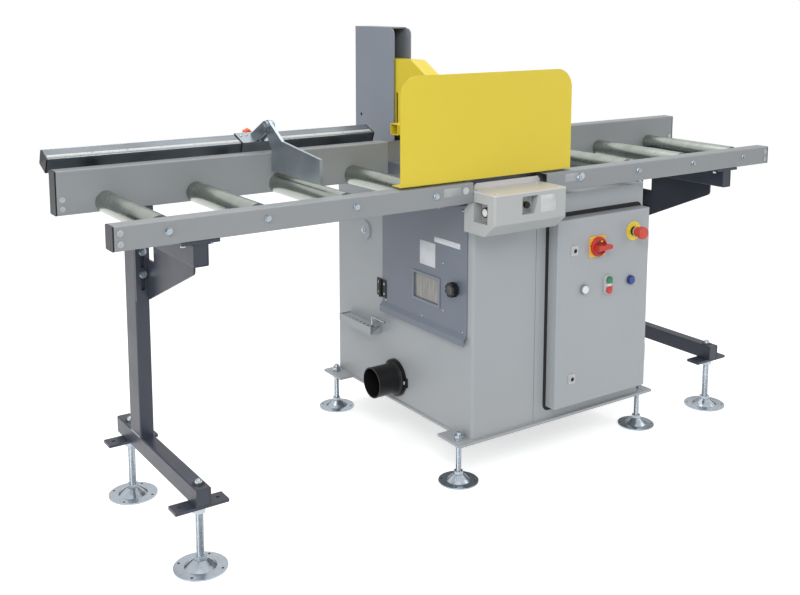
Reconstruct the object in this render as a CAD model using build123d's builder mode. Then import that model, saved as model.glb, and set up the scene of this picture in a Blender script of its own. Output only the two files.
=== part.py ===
"""Under-table crosscut saw with a roller table on each side, in millimetres.

X runs along the roller tables, Y to the back, Z up, with the floor at Z = 0. The blade turns in
the plane X = 0, which is also the middle of the roller tables.
"""
import os
from math import atan2, cos, degrees, hypot, radians, sin

from build123d import *

# Roller tables
total_length = 2364.0
table_gap = 280.0
face_y = -377.0
rail_depth = 50.0
rail_wall = 3.0
rail_round = 4.0
front_rail_top = 926.0
front_rail_height = 60.0
back_rail_top = 993.0
back_rail_height = 119.0
rail_spacing = 390.0
roller_r = 30.0
roller_wall = 2.0
roller_axis_z = 900.0
roller_pitch = 260.0
roller_end_gap = 1.5
roller_end_wall = 12.0
axle_r = 6.0
running_gap = 0.05
rivet_r = 8.0
rivet_inset = 14.0
rivet_ups = (17.0, 43.0)
rivet_head = 2.0
rivet_dimple_r = 2.5

# Cabinet
cabinet_left = -102.0
cabinet_width = 710.0
cabinet_inset = 44.0
cabinet_depth = 772.0
cabinet_top = 845.0
cabinet_sheet = 3.0
cabinet_round = 10.0
base_bottom = 123.0
base_thick = 8.0
base_overhang = 12.0
ear_out = 54.0
ear_length = 112.0

# Levelling feet
cabinet_foot_r = 61.0
cabinet_stud_r = 8.0
leg_foot_r = 70.0
leg_stud_r = 10.0
foot_flange = 4.0
foot_hole_r = 3.5
foot_hole_inset = 10.0

# Legs of the roller tables
leg_x = 970.0
leg_tube = 40.0
leg_wall = 3.0
leg_post_depth = 80.0
leg_beam_height = 50.0
cross_tube_height = 57.0
leg_beam_top = 226.0
leg_beam_length = 575.0
leg_beam_inset = 25.0
leg_foot_front = 57.0
leg_foot_pitch = 487.0
leg_post_inset = 409.0
leg_post_top = 796.0
floor_plate_length = 146.0
floor_plate_width = 50.0
floor_plate_thick = 8.0
floor_hole_r = 5.5
floor_hole_pitch = 104.0
leg_drop = 40.0
bracket_plate = 8.0
slot_width = 11.0
leg_bolt_r = 5.0
seat_thick = 8.0
seat_width = 100.0
seat_bolt_side = 36.0
seat_bolt_across = 13.0
seat_bolt_head = 8.0
gusset_front_inset = 85.0
gusset_front_drop = 40.0
gusset_corner = 15.0
gusset_low = 621.0
gusset_thick = 6.0
notch_width = 47.0
notch_drop = 66.0

# Saw table and blade
table_top = 930.0
table_thick = 12.0
table_front_inset = 50.0
table_back_inset = 550.0
table_web = 8.0
slot_r = 5.0
lug_clearance = 17.0
blade_r = 175.0
blade_thick = 3.2
blade_teeth = 40
tooth_depth = 9.0
arbor_inset = 300.0
arbor_z = 740.0
arbor_r = 15.0
flange_r = 42.0
flange_thick = 7.0
pivot_inset = 633.0
pivot_z = 669.0
pivot_r = 20.0
arm_x = 30.0
arm_thick = 15.0
pulley_x = 84.0
pulley_width = 16.0
arbor_pulley_r = 38.0
motor_pulley_r = 52.0
belt_thick = 5.0
belt_gap = 0.3
motor_inset = 600.0
motor_z = 480.0
motor_r = 92.0
motor_length = 250.0
motor_plate_thick = 8.0
pivot_bracket_x = 375.0

# Pneumatic cylinder that lifts the saw
stroke_base_inset = 445.0
stroke_base_z = 200.0
stroke_eye_inset = 430.0
stroke_eye_z = 712.0
stroke_barrel_r = 25.0
stroke_barrel_length = 385.0
fork_reach = 82.0
crown_thick = 12.0
stroke_rod_r = 10.0
stroke_pin_r = 6.0
open_pivot_gap = 4.0

# Guard, hood and their column
column_x = -37.0
column_width = 70.0
column_inset = 560.0
column_depth = 237.0
column_top = 1345.0
column_sheet = 4.0
column_round = 20.0
guard_left = -380.0
guard_width = 626.0
guard_inset = 15.0
guard_bottom = 932.0
guard_top = 1236.0
guard_sheet = 2.5
guard_flange = 40.0
guard_corner = 58.0
hood_half_width = 27.0
hood_sheet = 2.5
hood_top = 1246.0
hood_knee_inset = 471.0
hood_slope = 29.0
hood_back_inset = 628.0
hood_bottom = 1019.0
hood_slot_inset = 552.0
hood_slot_z = 1085.0
hood_slot_length = 105.0
hood_slot_width = 10.0
clamp_width = 40.0
clamp_height = 35.0
clamp_reach = 140.0
guide_rod_r = 8.0
guide_block_height = 90.0
lift_barrel_r = 20.0
lift_rod_r = 8.0
guard_lift = 85.0

# Measuring rail and stop
scale_width = 55.0
scale_height = 42.0
scale_tilt = 22.0
scale_edge_inset = 508.0
scale_edge_z = 1017.0
scale_bracket_inset = 132.0
scale_bracket_pitch = 390.0
scale_right = -150.0
carriage_left = -612.0
carriage_length = 95.0
carriage_sheet = 3.0
slide_gap = 0.3
stop_x = -557.0
stop_thick = 9.0
stop_pivot_inset = 455.0
stop_pivot_z = 1068.0
stop_reach = 146.0
stop_low = 941.0
stop_high = 1009.0

# Service door on the left side of the cabinet
door_front_inset = 70.0
door_back_inset = 525.0
door_low = 416.0
door_top = 842.0
door_sheet = 3.0
door_lip = 32.0
door_ramp = 12.0
window_inset = 276.0
window_z = 548.0
window_width = 130.0
window_height = 78.0
hinge_r = 6.0
knob_inset = 123.0
knob_z = 581.0
knob_r = 23.0

# Dust port and chute
port_inset = 450.0
port_z = 205.0
port_r = 50.0
port_wall = 3.0
port_length = 95.0
port_flange_r = 62.0
port_flange_thick = 8.0
port_ear_pitch = 118.0

# Electrical enclosure in the front of the cabinet
box_left = 194.0
box_width = 400.0
box_low = 172.0
box_height = 600.0
box_depth = 190.0
box_sheet = 2.0
box_front_inset = 23.0
lid_depth = 18.0
cut_gap = 15.0
cut_round = 25.0
button_z = 543.0
button_r = 11.0
button_pitch = 103.0
first_button_x = 306.0
bezel_r = 15.0
bezel_height = 8.0
cap_r = 12.5
cap_grip = 3.0
double_offset = 17.0
lens_width = 14.0
lens_height = 8.0
lens_out = 1.5
switch_x = 360.0
switch_z = 674.0
switch_plate = 66.0
estop_x = 521.0
estop_z = 703.0
estop_disc_r = 31.0
estop_collar_r = 15.0
estop_neck_r = 16.0
estop_head_r = 20.0
estop_out = 50.0
lock_x = 263.0
lock_r = 11.0
lock_inset = 100.0
escutcheon_width = 26.0
escutcheon_height = 30.0
escutcheon_thick = 4.0

# Two-hand console between the front rails
console_width = 270.0
console_reach = 95.0
console_top = 898.0
console_low = 777.0
console_nose = 815.0
console_wall = 4.0
console_lid = 3.0
upstand_height = 20.0
palm_r = 15.0
palm_inset = 31.0
palm_z = 842.0
pocket_depth = 30.0
regulator_x = -14.0
regulator_z = 862.0

half_length = total_length / 2
half_gap = table_gap / 2
table_length = half_length - half_gap
rail_back_y = face_y + rail_depth
fence_y = rail_back_y + rail_spacing
front_rail_low = front_rail_top - front_rail_height
back_rail_low = back_rail_top - back_rail_height
roller_length = rail_spacing - 2 * roller_end_gap
roller_margin = (table_length - 3 * roller_pitch) / 2
left_rollers = [-half_length + roller_margin + n * roller_pitch for n in range(4)]
right_rollers = [half_gap + roller_margin + n * roller_pitch for n in range(4)]
roller_places = left_rollers + right_rollers
cabinet_right = cabinet_left + cabinet_width
cabinet_front = face_y + cabinet_inset
cabinet_back = cabinet_front + cabinet_depth
base_top = base_bottom + base_thick
pivot_y = face_y + pivot_inset
arbor_y = face_y + arbor_inset
motor_y = face_y + motor_inset
column_front = face_y + column_inset
column_back = column_front + column_depth
box_right = box_left + box_width
box_top = box_low + box_height
box_front = face_y + box_front_inset
lid_back = box_front
lid_face = lid_back - lid_depth
table_low = table_top - table_thick
scale_left = -half_length

written = []


def block(x, y, z, mode=Mode.ADD):
    """A box between two limits on each axis."""
    middle = [(low + high) / 2 for low, high in (x, y, z)]
    with Locations(tuple(middle)):
        Box(x[1] - x[0], y[1] - y[0], z[1] - z[0], mode=mode)


def line_plane(axis, place, start):
    """A plane square to an axis, with its origin on the line through place, at start."""
    if axis == "X":
        return Plane(origin=(start, place[0], place[1]), x_dir=(0, 1, 0), z_dir=(1, 0, 0))
    if axis == "Y":
        return Plane(origin=(place[0], start, place[1]), x_dir=(-1, 0, 0), z_dir=(0, 1, 0))
    return Plane(origin=(place[0], place[1], start), x_dir=(1, 0, 0), z_dir=(0, 0, 1))


def bar(axis, place, radius, span, mode=Mode.ADD):
    """A round bar along an axis; place holds the two other coordinates, span its ends."""
    with BuildSketch(line_plane(axis, place, span[0])) as section:
        Circle(radius)
    extrude(section.sketch, amount=span[1] - span[0], mode=mode)


def hexagon(axis, place, across, span):
    """A hexagonal nut or bolt head along an axis, given by its size across the flats."""
    with BuildSketch(line_plane(axis, place, span[0])) as section:
        RegularPolygon(across / 2, 6, major_radius=False)
    extrude(section.sketch, amount=span[1] - span[0])


def hollow_bar(axis, place, outer, inner, span):
    """A round tube along an axis."""
    with BuildSketch(line_plane(axis, place, span[0])) as section:
        Circle(outer)
        Circle(inner, mode=Mode.SUBTRACT)
    extrude(section.sketch, amount=span[1] - span[0])


def save(piece, label):
    """Give a finished piece its name and write it."""
    piece.part.label = label
    export_step(piece.part, "parts/" + label + ".step")
    written.append(label)


os.makedirs("parts", exist_ok=True)

# Front and back rails, one of each on both sides of the saw table
with BuildPart() as front_rails:
    for start in (-half_length, half_gap):
        with BuildSketch(Plane.YZ.offset(start)):
            with Locations((face_y + rail_depth / 2, front_rail_top - front_rail_height / 2)):
                RectangleRounded(rail_depth, front_rail_height, rail_round)
                Rectangle(rail_depth - 2 * rail_wall, front_rail_height - 2 * rail_wall, mode=Mode.SUBTRACT)
        extrude(amount=table_length)
    for x in roller_places:
        bar("Y", (x, roller_axis_z), axle_r, (face_y - 1, rail_back_y + 1), Mode.SUBTRACT)
save(front_rails, "front_rails")

with BuildPart() as back_rails:
    for start in (-half_length, half_gap):
        with BuildSketch(Plane.YZ.offset(start)):
            with Locations((fence_y + rail_depth / 2, back_rail_top - back_rail_height / 2)):
                RectangleRounded(rail_depth, back_rail_height, rail_round)
                Rectangle(rail_depth - 2 * rail_wall, back_rail_height - 2 * rail_wall, mode=Mode.SUBTRACT)
        extrude(amount=table_length)
    for x in roller_places:
        bar("Y", (x, roller_axis_z), axle_r, (fence_y - 1, fence_y + rail_wall + 1), Mode.SUBTRACT)
save(back_rails, "back_rails")

# Rollers: a tube with an end piece that runs on the fixed axle
for number, x in enumerate(roller_places, start=1):
    roller_start = rail_back_y + roller_end_gap
    roller_end = roller_start + roller_length
    with BuildPart() as roller:
        bar("Y", (x, roller_axis_z), roller_r, (roller_start, roller_end))
        bar("Y", (x, roller_axis_z), roller_r - roller_wall,
            (roller_start + roller_end_wall, roller_end - roller_end_wall), Mode.SUBTRACT)
        bar("Y", (x, roller_axis_z), axle_r + running_gap, (roller_start - 1, roller_end + 1), Mode.SUBTRACT)
        for face, step in ((roller_start, 1), (roller_end, -1)):
            with BuildSketch(line_plane("Y", (x, roller_axis_z), face)):
                Circle(roller_r - 4)
                Circle(axle_r + 5, mode=Mode.SUBTRACT)
            extrude(amount=step * 3, mode=Mode.SUBTRACT)
    save(roller, "roller_" + str(number))

# Axles, rivets and the other bright fasteners of the roller tables and the cabinet
bolt_head = 6.0
washer_thick = 1.5
boss_cover = 6.0
boss_cover_r = 33.0
boss_bolt_r = 4.0
boss_washer_r = 11.0
cabinet_foot_out = ear_out / 2
cabinet_feet_places = [(x, y) for x in (cabinet_left - cabinet_foot_out, cabinet_right + cabinet_foot_out)
                       for y in (cabinet_front + 28, cabinet_back - 28)]
with BuildPart() as axles_and_bolts:
    for x in roller_places:
        bar("Y", (x, roller_axis_z), axle_r, (face_y, fence_y + rail_wall))
        bar("Y", (x, roller_axis_z), 9.5, (face_y - washer_thick, face_y))
        hexagon("Y", (x, roller_axis_z), 14, (face_y - washer_thick - bolt_head, face_y - washer_thick))
    for side in (-1, 1):
        for face, low in ((face_y, front_rail_low), (fence_y, back_rail_low)):
            for up in rivet_ups:
                place = (side * (half_length - rivet_inset), low + up)
                bar("Y", place, rivet_r, (face - rivet_head, face))
                bar("Y", place, rivet_dimple_r, (face - rivet_head - 1, face - rivet_head / 2), Mode.SUBTRACT)
        for across in (-seat_bolt_side, seat_bolt_side):
            hexagon("Z", (side * leg_x + across, face_y + rail_depth / 2), seat_bolt_across,
                    (front_rail_low - seat_thick - seat_bolt_head, front_rail_low - seat_thick))
    bar("X", (pivot_y, pivot_z), pivot_r, (cabinet_left, pivot_bracket_x + 20))
    bar("X", (pivot_y, pivot_z), boss_bolt_r, (cabinet_left - boss_cover, cabinet_left))
    bar("X", (pivot_y, pivot_z), boss_washer_r, (cabinet_left - boss_cover - washer_thick, cabinet_left - boss_cover))
    hexagon("X", (pivot_y, pivot_z), 13, (cabinet_left - boss_cover - washer_thick - bolt_head,
                                          cabinet_left - boss_cover - washer_thick))
    for x, y in cabinet_feet_places:
        hollow_bar("Z", (x, y), 14, cabinet_stud_r + running_gap, (base_top, base_top + 2.5))
        with BuildSketch(Plane.XY.offset(base_top + 2.5)):
            with Locations((x, y)):
                RegularPolygon(12, 6, major_radius=False)
                Circle(cabinet_stud_r + running_gap, mode=Mode.SUBTRACT)
        extrude(amount=12)
save(axles_and_bolts, "axles_and_bolts")

# Cabinet: folded sheet, open below, with a deck, a door opening and the cut-out for the enclosure
cut_low = box_low - cut_gap
cut_high = box_top + cut_gap
cut_left = box_left - cut_gap
cut_right = box_right + 5.0
door_frame = 16.0
deck_thick = 5.0
boss_r = pivot_r + 14.0
bracket_thick = 8.0
seam_x = 141.0
seam_width = 2.0
with BuildPart() as cabinet_shell:
    with BuildSketch(Plane.XY.offset(base_top)):
        with Locations(((cabinet_left + cabinet_right) / 2, (cabinet_front + cabinet_back) / 2)):
            RectangleRounded(cabinet_width, cabinet_depth, cabinet_round)
            RectangleRounded(cabinet_width - 2 * cabinet_sheet, cabinet_depth - 2 * cabinet_sheet,
                             cabinet_round - cabinet_sheet, mode=Mode.SUBTRACT)
    extrude(amount=cabinet_top - base_top)
    inside_x = (cabinet_left + cabinet_sheet, cabinet_right - cabinet_sheet)
    inside_y = (cabinet_front + cabinet_sheet, cabinet_back - cabinet_sheet)
    with BuildSketch(Plane.XY.offset(cabinet_top - deck_thick)):
        with Locations((sum(inside_x) / 2, sum(inside_y) / 2)):
            RectangleRounded(inside_x[1] - inside_x[0], inside_y[1] - inside_y[0], cabinet_round - cabinet_sheet)
    extrude(amount=deck_thick)
    block((cabinet_left + 18, half_gap - table_web - 4), (face_y + 95, face_y + table_back_inset - 6),
          (cabinet_top - deck_thick - 1, cabinet_top + 1), Mode.SUBTRACT)
    # Opening behind the service door
    block((cabinet_left - 1, cabinet_left + cabinet_sheet + 1),
          (face_y + door_front_inset + door_frame, face_y + door_back_inset - door_frame),
          (door_low + door_lip + 4, door_top - door_frame), Mode.SUBTRACT)
    # Cut-out for the enclosure, with its edge folded inwards
    for low, high, inner in (((cut_left - cabinet_sheet), (cut_right + cabinet_sheet), False),
                             (cut_left, cut_right, True)):
        grow = 0 if inner else cabinet_sheet
        with BuildSketch(Plane.XZ.offset(-(cabinet_front - (1 if inner else -cabinet_sheet)))):
            with Locations(((low + high) / 2, (cut_low + cut_high) / 2)):
                RectangleRounded(high - low, cut_high - cut_low + 2 * grow, cut_round + grow)
        if inner:
            extrude(amount=-30, mode=Mode.SUBTRACT)
        else:
            extrude(amount=-14)
    bar("X", (face_y + port_inset, port_z), port_r - port_wall,
        (cabinet_left - 1, cabinet_left + cabinet_sheet + 1), Mode.SUBTRACT)
    # Boss on the left wall that carries the shaft of the saw arm
    bar("X", (pivot_y, pivot_z), boss_r, (cabinet_left + cabinet_sheet, cabinet_left + 16))
    bar("X", (pivot_y, pivot_z), pivot_r, (cabinet_left - 1, cabinet_left + 17), Mode.SUBTRACT)
    hollow_bar("X", (pivot_y, pivot_z), boss_cover_r, boss_bolt_r + running_gap,
               (cabinet_left - boss_cover, cabinet_left))
    # Seam between the front sheets
    block((seam_x - seam_width / 2, seam_x + seam_width / 2), (cabinet_front - 1, cabinet_front + cabinet_sheet / 2),
          (base_top - 1, cabinet_top + 1), Mode.SUBTRACT)
save(cabinet_shell, "cabinet_shell")

# Base plate with an ear for a levelling foot at each corner, and lugs for the lifting cylinder
lug_mid = arm_x + arm_thick / 2
lug_thick = 8.0
lug_gap = 17.0
with BuildPart() as base_plate:
    with BuildSketch(Plane.XY.offset(base_bottom)):
        with Locations(((cabinet_left + cabinet_right) / 2, (cabinet_front + cabinet_back) / 2)):
            Rectangle(cabinet_width + 8, cabinet_depth + 2 * base_overhang)
        for y in (cabinet_front - base_overhang + ear_length / 2, cabinet_back + base_overhang - ear_length / 2):
            with Locations(((cabinet_left + cabinet_right) / 2, y)):
                Rectangle(cabinet_width + 2 * ear_out, ear_length)
    extrude(amount=base_thick)
    for x, y in cabinet_feet_places:
        bar("Z", (x, y), cabinet_stud_r + running_gap, (base_bottom - 1, base_top + 1), Mode.SUBTRACT)
    for x in (lug_mid - lug_gap - lug_thick, lug_mid + lug_gap):
        with BuildSketch(Plane.YZ.offset(x)):
            with Locations((face_y + stroke_base_inset, (base_top + stroke_base_z) / 2)):
                Rectangle(44, stroke_base_z - base_top)
            with Locations((face_y + stroke_base_inset, stroke_base_z)):
                Circle(22)
        extrude(amount=lug_thick)
    # Bracket that carries the far end of the shaft of the saw arm
    block((pivot_bracket_x, pivot_bracket_x + bracket_thick), (pivot_y - 50, pivot_y + 50),
          (base_top, pivot_z + 45))
    block((pivot_bracket_x + bracket_thick, pivot_bracket_x + 70), (pivot_y + 42, pivot_y + 50),
          (base_top, pivot_z))
    bar("X", (pivot_y, pivot_z), pivot_r, (pivot_bracket_x - 1, pivot_bracket_x + bracket_thick + 1), Mode.SUBTRACT)
    bar("X", (face_y + stroke_base_inset, stroke_base_z), stroke_pin_r,
        (lug_mid - lug_gap - lug_thick, lug_mid + lug_gap + lug_thick))
save(base_plate, "base_plate")


def add_foot(x, y, disc_r, stud_r, stud_top, nut_z):
    """A levelling foot: dished disc with rim holes, hexagonal neck, threaded stud and lock nut."""
    with BuildSketch(Plane(origin=(x, y, 0), x_dir=(1, 0, 0), z_dir=(0, -1, 0))) as section:
        with BuildLine():
            Polyline((0, 0), (disc_r, 0), (disc_r, foot_flange), (disc_r * 0.6, foot_flange + 0.5),
                     (disc_r * 0.48, foot_flange + 8), (stud_r + 8, foot_flange + 20), (stud_r, foot_flange + 22),
                     (stud_r, stud_top - 1.5), (stud_r - 1.5, stud_top), (0, stud_top), close=True)
        make_face()
    revolve(section.sketch, axis=Axis((x, y, 0), (0, 0, 1)))
    hexagon("Z", (x, y), 2 * stud_r + 10, (foot_flange + 20, foot_flange + 30))
    hexagon("Z", (x, y), 3.2 * stud_r, (nut_z - 0.8 * 2 * stud_r, nut_z))
    for n in range(4):
        turn = radians(45 + 90 * n)
        reach = disc_r - foot_hole_inset
        bar("Z", (x + reach * cos(turn), y + reach * sin(turn)), foot_hole_r, (-1, foot_flange + 1), Mode.SUBTRACT)


with BuildPart() as cabinet_feet:
    for x, y in cabinet_feet_places:
        add_foot(x, y, cabinet_foot_r, cabinet_stud_r, base_top + 24, base_bottom)
save(cabinet_feet, "cabinet_feet")

# Legs: a foot beam with two floor plates, and a post that slides on the slotted bracket
beam_start = face_y + leg_beam_inset
beam_end = beam_start + leg_beam_length
leg_beam_low = leg_beam_top - leg_beam_height
post_front = face_y + leg_post_inset
plate_front = post_front - bracket_plate
leg_foot_ys = (face_y + leg_foot_front, face_y + leg_foot_front + leg_foot_pitch)
cross_top = front_rail_low - seat_thick
cross_low = cross_top - cross_tube_height
leg_bolt_zs = (cross_low - 43, cross_low - 106)
for label, x in (("left", -leg_x), ("right", leg_x)):
    with BuildPart() as leg:
        with BuildSketch(Plane.XZ.offset(-beam_start)):
            with Locations((x, (leg_beam_top + leg_beam_low) / 2)):
                RectangleRounded(leg_tube, leg_beam_height, rail_round)
                Rectangle(leg_tube - 2 * leg_wall, leg_beam_height - 2 * leg_wall, mode=Mode.SUBTRACT)
        extrude(amount=-leg_beam_length)
        inner = leg_tube / 2 - leg_wall
        for y in (beam_start + 1, beam_end - 4):
            block((x - inner, x + inner), (y, y + leg_wall), (leg_beam_low + leg_wall, leg_beam_top - leg_wall))
        with BuildSketch(Plane.XY.offset(leg_beam_top)):
            with Locations((x, post_front + leg_post_depth / 2)):
                RectangleRounded(leg_tube, leg_post_depth, rail_round)
                Rectangle(leg_tube - 2 * leg_wall, leg_post_depth - 2 * leg_wall, mode=Mode.SUBTRACT)
        extrude(amount=leg_post_top - leg_beam_top)
        for y in leg_foot_ys:
            with BuildSketch(Plane.XY.offset(leg_beam_low)):
                with Locations((x, y)):
                    RectangleRounded(floor_plate_length, floor_plate_width, 2)
                    for side in (-1, 1):
                        with Locations((side * floor_hole_pitch / 2, 0)):
                            Circle(floor_hole_r, mode=Mode.SUBTRACT)
            extrude(amount=-floor_plate_thick)
            bar("Z", (x, y), leg_stud_r + running_gap, (leg_beam_low - floor_plate_thick - 1, leg_beam_top + 1),
                Mode.SUBTRACT)
        for z in leg_bolt_zs:
            bar("Y", (x, z), leg_bolt_r, (post_front - 1, post_front + leg_wall + 1), Mode.SUBTRACT)
    save(leg, "leg_" + label)

    with BuildPart() as leg_fittings:
        for y in leg_foot_ys:
            add_foot(x, y, leg_foot_r, leg_stud_r, leg_beam_top + 7, leg_beam_low - floor_plate_thick)
        for z in leg_bolt_zs:
            bar("Y", (x, z), leg_bolt_r, (plate_front - 3, post_front + leg_wall + 6))
            bar("Y", (x, z), 11, (plate_front - 2.6, plate_front - 0.1))
            hexagon("Y", (x, z), 16, (plate_front - 9, plate_front - 2.6))
    save(leg_fittings, "leg_fittings_" + label)

# Brackets under the rails: cross tube, seats for the rails, gusset and slotted plate
with BuildPart() as leg_brackets:
    for x in (-leg_x, leg_x):
        with BuildSketch(Plane.XZ.offset(-(face_y + 2))):
            with Locations((x, (cross_top + cross_low) / 2)):
                RectangleRounded(leg_tube, cross_tube_height, rail_round)
                Rectangle(leg_tube - 2 * leg_wall, cross_tube_height - 2 * leg_wall, mode=Mode.SUBTRACT)
        extrude(amount=-(fence_y + rail_depth - face_y - 4))
        inner = leg_tube / 2 - leg_wall
        block((x - inner, x + inner), (face_y + 3, face_y + 6), (cross_low + leg_wall, cross_top - leg_wall))
        block((x - seat_width / 2, x + seat_width / 2), (face_y, rail_back_y), (cross_top, front_rail_low))
        block((x - seat_width / 2, x + seat_width / 2), (fence_y, fence_y + rail_depth), (cross_top, back_rail_low))
        with BuildSketch(Plane.YZ.offset(x + leg_tube / 2 - gusset_thick)) as gusset:
            with BuildLine():
                Polyline((face_y + gusset_front_inset, cross_low),
                         (face_y + gusset_front_inset, cross_low - gusset_front_drop),
                         (plate_front, gusset_low), (plate_front, cross_low - notch_drop),
                         (plate_front - notch_width, cross_low - notch_drop), (plate_front - notch_width, cross_low),
                         close=True)
            make_face()
            fillet(gusset.vertices().group_by(Axis.X)[0].sort_by(Axis.Y)[0], gusset_corner)
        extrude(amount=gusset_thick)
        block((x - leg_tube / 2, x + leg_tube / 2), (plate_front, post_front), (gusset_low, cross_low))
        for z in leg_bolt_zs:
            with BuildSketch(Plane.XZ.offset(-(plate_front - 1))):
                with Locations((x, z - leg_drop / 2)):
                    SlotOverall(leg_drop + slot_width, slot_width, rotation=90)
            extrude(amount=-(bracket_plate + 2), mode=Mode.SUBTRACT)
save(leg_brackets, "leg_brackets")

# Saw table: top plate with the blade slot, webs down to the deck, rail lugs and the short fences
table_front = face_y + table_front_inset
table_back = face_y + table_back_inset
lug_reach = roller_margin - roller_r - lug_clearance
with BuildPart() as saw_table:
    with BuildSketch(Plane.XY.offset(table_low)):
        with Locations((0, (table_front + table_back) / 2)):
            Rectangle(table_gap, table_back - table_front)
        with Locations((0, face_y + 350)):
            SlotOverall(380, 2 * slot_r, rotation=90, mode=Mode.SUBTRACT)
    extrude(amount=table_thick)
    for x, low in ((-half_gap, cabinet_top + 6), (cabinet_left + 2, cabinet_top), (half_gap - table_web, cabinet_top)):
        block((x, x + table_web), (table_front, table_back), (low, table_low))
    for y in (table_front, table_back - table_web):
        block((-half_gap, half_gap), (y, y + table_web), (cabinet_top + 6, table_low))
    for side in (-1, 1):
        inner, outer = side * half_gap, side * (half_gap + lug_reach)
        block((min(inner, outer), max(inner, outer)), (table_front, table_front + table_web),
              (cabinet_top + 6, table_low))
        block((min(side * half_gap, side * 9), max(side * half_gap, side * 9)), (fence_y, fence_y + 12),
              (table_top, back_rail_top))
save(saw_table, "saw_table")

# Blade with its arbor, clamping flanges, nut and pulley
hub = (arbor_y, arbor_z)
with BuildPart() as saw_blade:
    with BuildSketch(Plane(origin=(-blade_thick / 2, arbor_y, arbor_z), x_dir=(0, 1, 0), z_dir=(1, 0, 0))):
        Circle(blade_r - tooth_depth)
        with BuildSketch(mode=Mode.PRIVATE) as tooth:
            with BuildLine():
                Polyline((blade_r - tooth_depth - 2, -7), (blade_r, 0), (blade_r - tooth_depth, 1.5),
                         (blade_r - tooth_depth - 2, 1.5), close=True)
            make_face()
        with PolarLocations(0, blade_teeth):
            add(tooth.sketch_local)
        with PolarLocations(blade_r - 28, 4):
            SlotOverall(44, 3, mode=Mode.SUBTRACT)
        Circle(arbor_r, mode=Mode.SUBTRACT)
    extrude(amount=blade_thick)
save(saw_blade, "saw_blade")

flange_out = blade_thick / 2 + flange_thick
with BuildPart() as arbor:
    bar("X", hub, arbor_r, (-30, pulley_x + pulley_width + 4))
    for start in (-flange_out, blade_thick / 2):
        bar("X", hub, flange_r, (start, start + flange_thick))
    hexagon("X", hub, 46, (-flange_out - 14, -flange_out))
    for start, width in ((pulley_x, 1.5), (pulley_x + pulley_width - 1.5, 1.5)):
        bar("X", hub, arbor_pulley_r + belt_thick, (start, start + width))
    bar("X", hub, arbor_pulley_r, (pulley_x, pulley_x + pulley_width))
save(arbor, "arbor")

# Saw arm: pivot tube on the fixed shaft, side plate with arbor housing, motor plate
tube_start = cabinet_left + 16.5
tube_end = pivot_bracket_x - 0.5
arm_end = arm_x + arm_thick
housing_span = (arm_x - 16, pulley_x - 4)
motor_plate_x = pulley_x + pulley_width + 2
motor_start = motor_plate_x + motor_plate_thick
stroke_eye = (face_y + stroke_eye_inset, stroke_eye_z)
with BuildPart() as swing_arm:
    bar("X", (pivot_y, pivot_z), pivot_r + 12, (tube_start, tube_end))
    with BuildSketch(Plane.YZ.offset(arm_x)):
        with Locations((pivot_y, pivot_z)):
            Circle(48)
        with Locations(hub):
            Circle(44)
        make_hull()
        with Locations(((pivot_y + stroke_eye[0]) / 2 + 8, (pivot_z + stroke_eye[1]) / 2)):
            SlotOverall(92, 44, rotation=degrees(atan2(stroke_eye[1] - pivot_z, stroke_eye[0] - pivot_y)),
                        mode=Mode.SUBTRACT)
        with Locations(stroke_eye):
            Circle(stroke_pin_r + open_pivot_gap, mode=Mode.SUBTRACT)
    extrude(amount=arm_thick)
    bar("X", hub, 38, housing_span)
    with BuildSketch(Plane.YZ.offset(motor_plate_x)):
        with Locations((pivot_y, pivot_z)):
            Circle(45)
        with Locations((motor_y, motor_z)):
            Circle(motor_r + 6)
        make_hull()
        with Locations((motor_y, motor_z)):
            Circle(30, mode=Mode.SUBTRACT)
    extrude(amount=motor_plate_thick)
    bar("X", hub, arbor_r + running_gap, (housing_span[0] - 1, housing_span[1] + 1), Mode.SUBTRACT)
    bar("X", (pivot_y, pivot_z), pivot_r + running_gap, (tube_start - 1, tube_end + 1), Mode.SUBTRACT)
save(swing_arm, "swing_arm")

# Motor: finned housing, fan cover and terminal box
motor_axis = (motor_y, motor_z)
with BuildPart() as motor:
    hollow_bar("X", motor_axis, motor_r, 14 + running_gap, (motor_start, motor_start + 12))
    hollow_bar("X", motor_axis, motor_r - 12, 14 + running_gap, (motor_start + 12, motor_start + 40))
    bar("X", motor_axis, motor_r - 12, (motor_start + 40, motor_start + motor_length - 52))
    with BuildSketch(Plane.YZ.offset(motor_start + 20)):
        with Locations(motor_axis):
            with PolarLocations(motor_r - 8, 24):
                Rectangle(14, 3.5)
    extrude(amount=motor_length - 80)
    bar("X", motor_axis, motor_r, (motor_start + motor_length - 56, motor_start + motor_length - 4))
    with BuildSketch(Plane.YZ.offset(motor_start + motor_length - 4)):
        with Locations(motor_axis):
            Circle(motor_r)
            with PolarLocations(motor_r * 0.55, 12):
                SlotOverall(44, 6, mode=Mode.SUBTRACT)
    extrude(amount=4)
    block((motor_start + 60, motor_start + 150), (motor_y - motor_r - 34, motor_y - motor_r + 14),
          (motor_z - 45, motor_z + 45))
save(motor, "motor")

with BuildPart() as motor_pulley:
    bar("X", motor_axis, 14, (pulley_x - 6, motor_start + 36))
    bar("X", motor_axis, motor_pulley_r, (pulley_x, pulley_x + pulley_width))
    for start in (pulley_x, pulley_x + pulley_width - 1.5):
        bar("X", motor_axis, motor_pulley_r + belt_thick, (start, start + 1.5))
save(motor_pulley, "motor_pulley")

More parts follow.
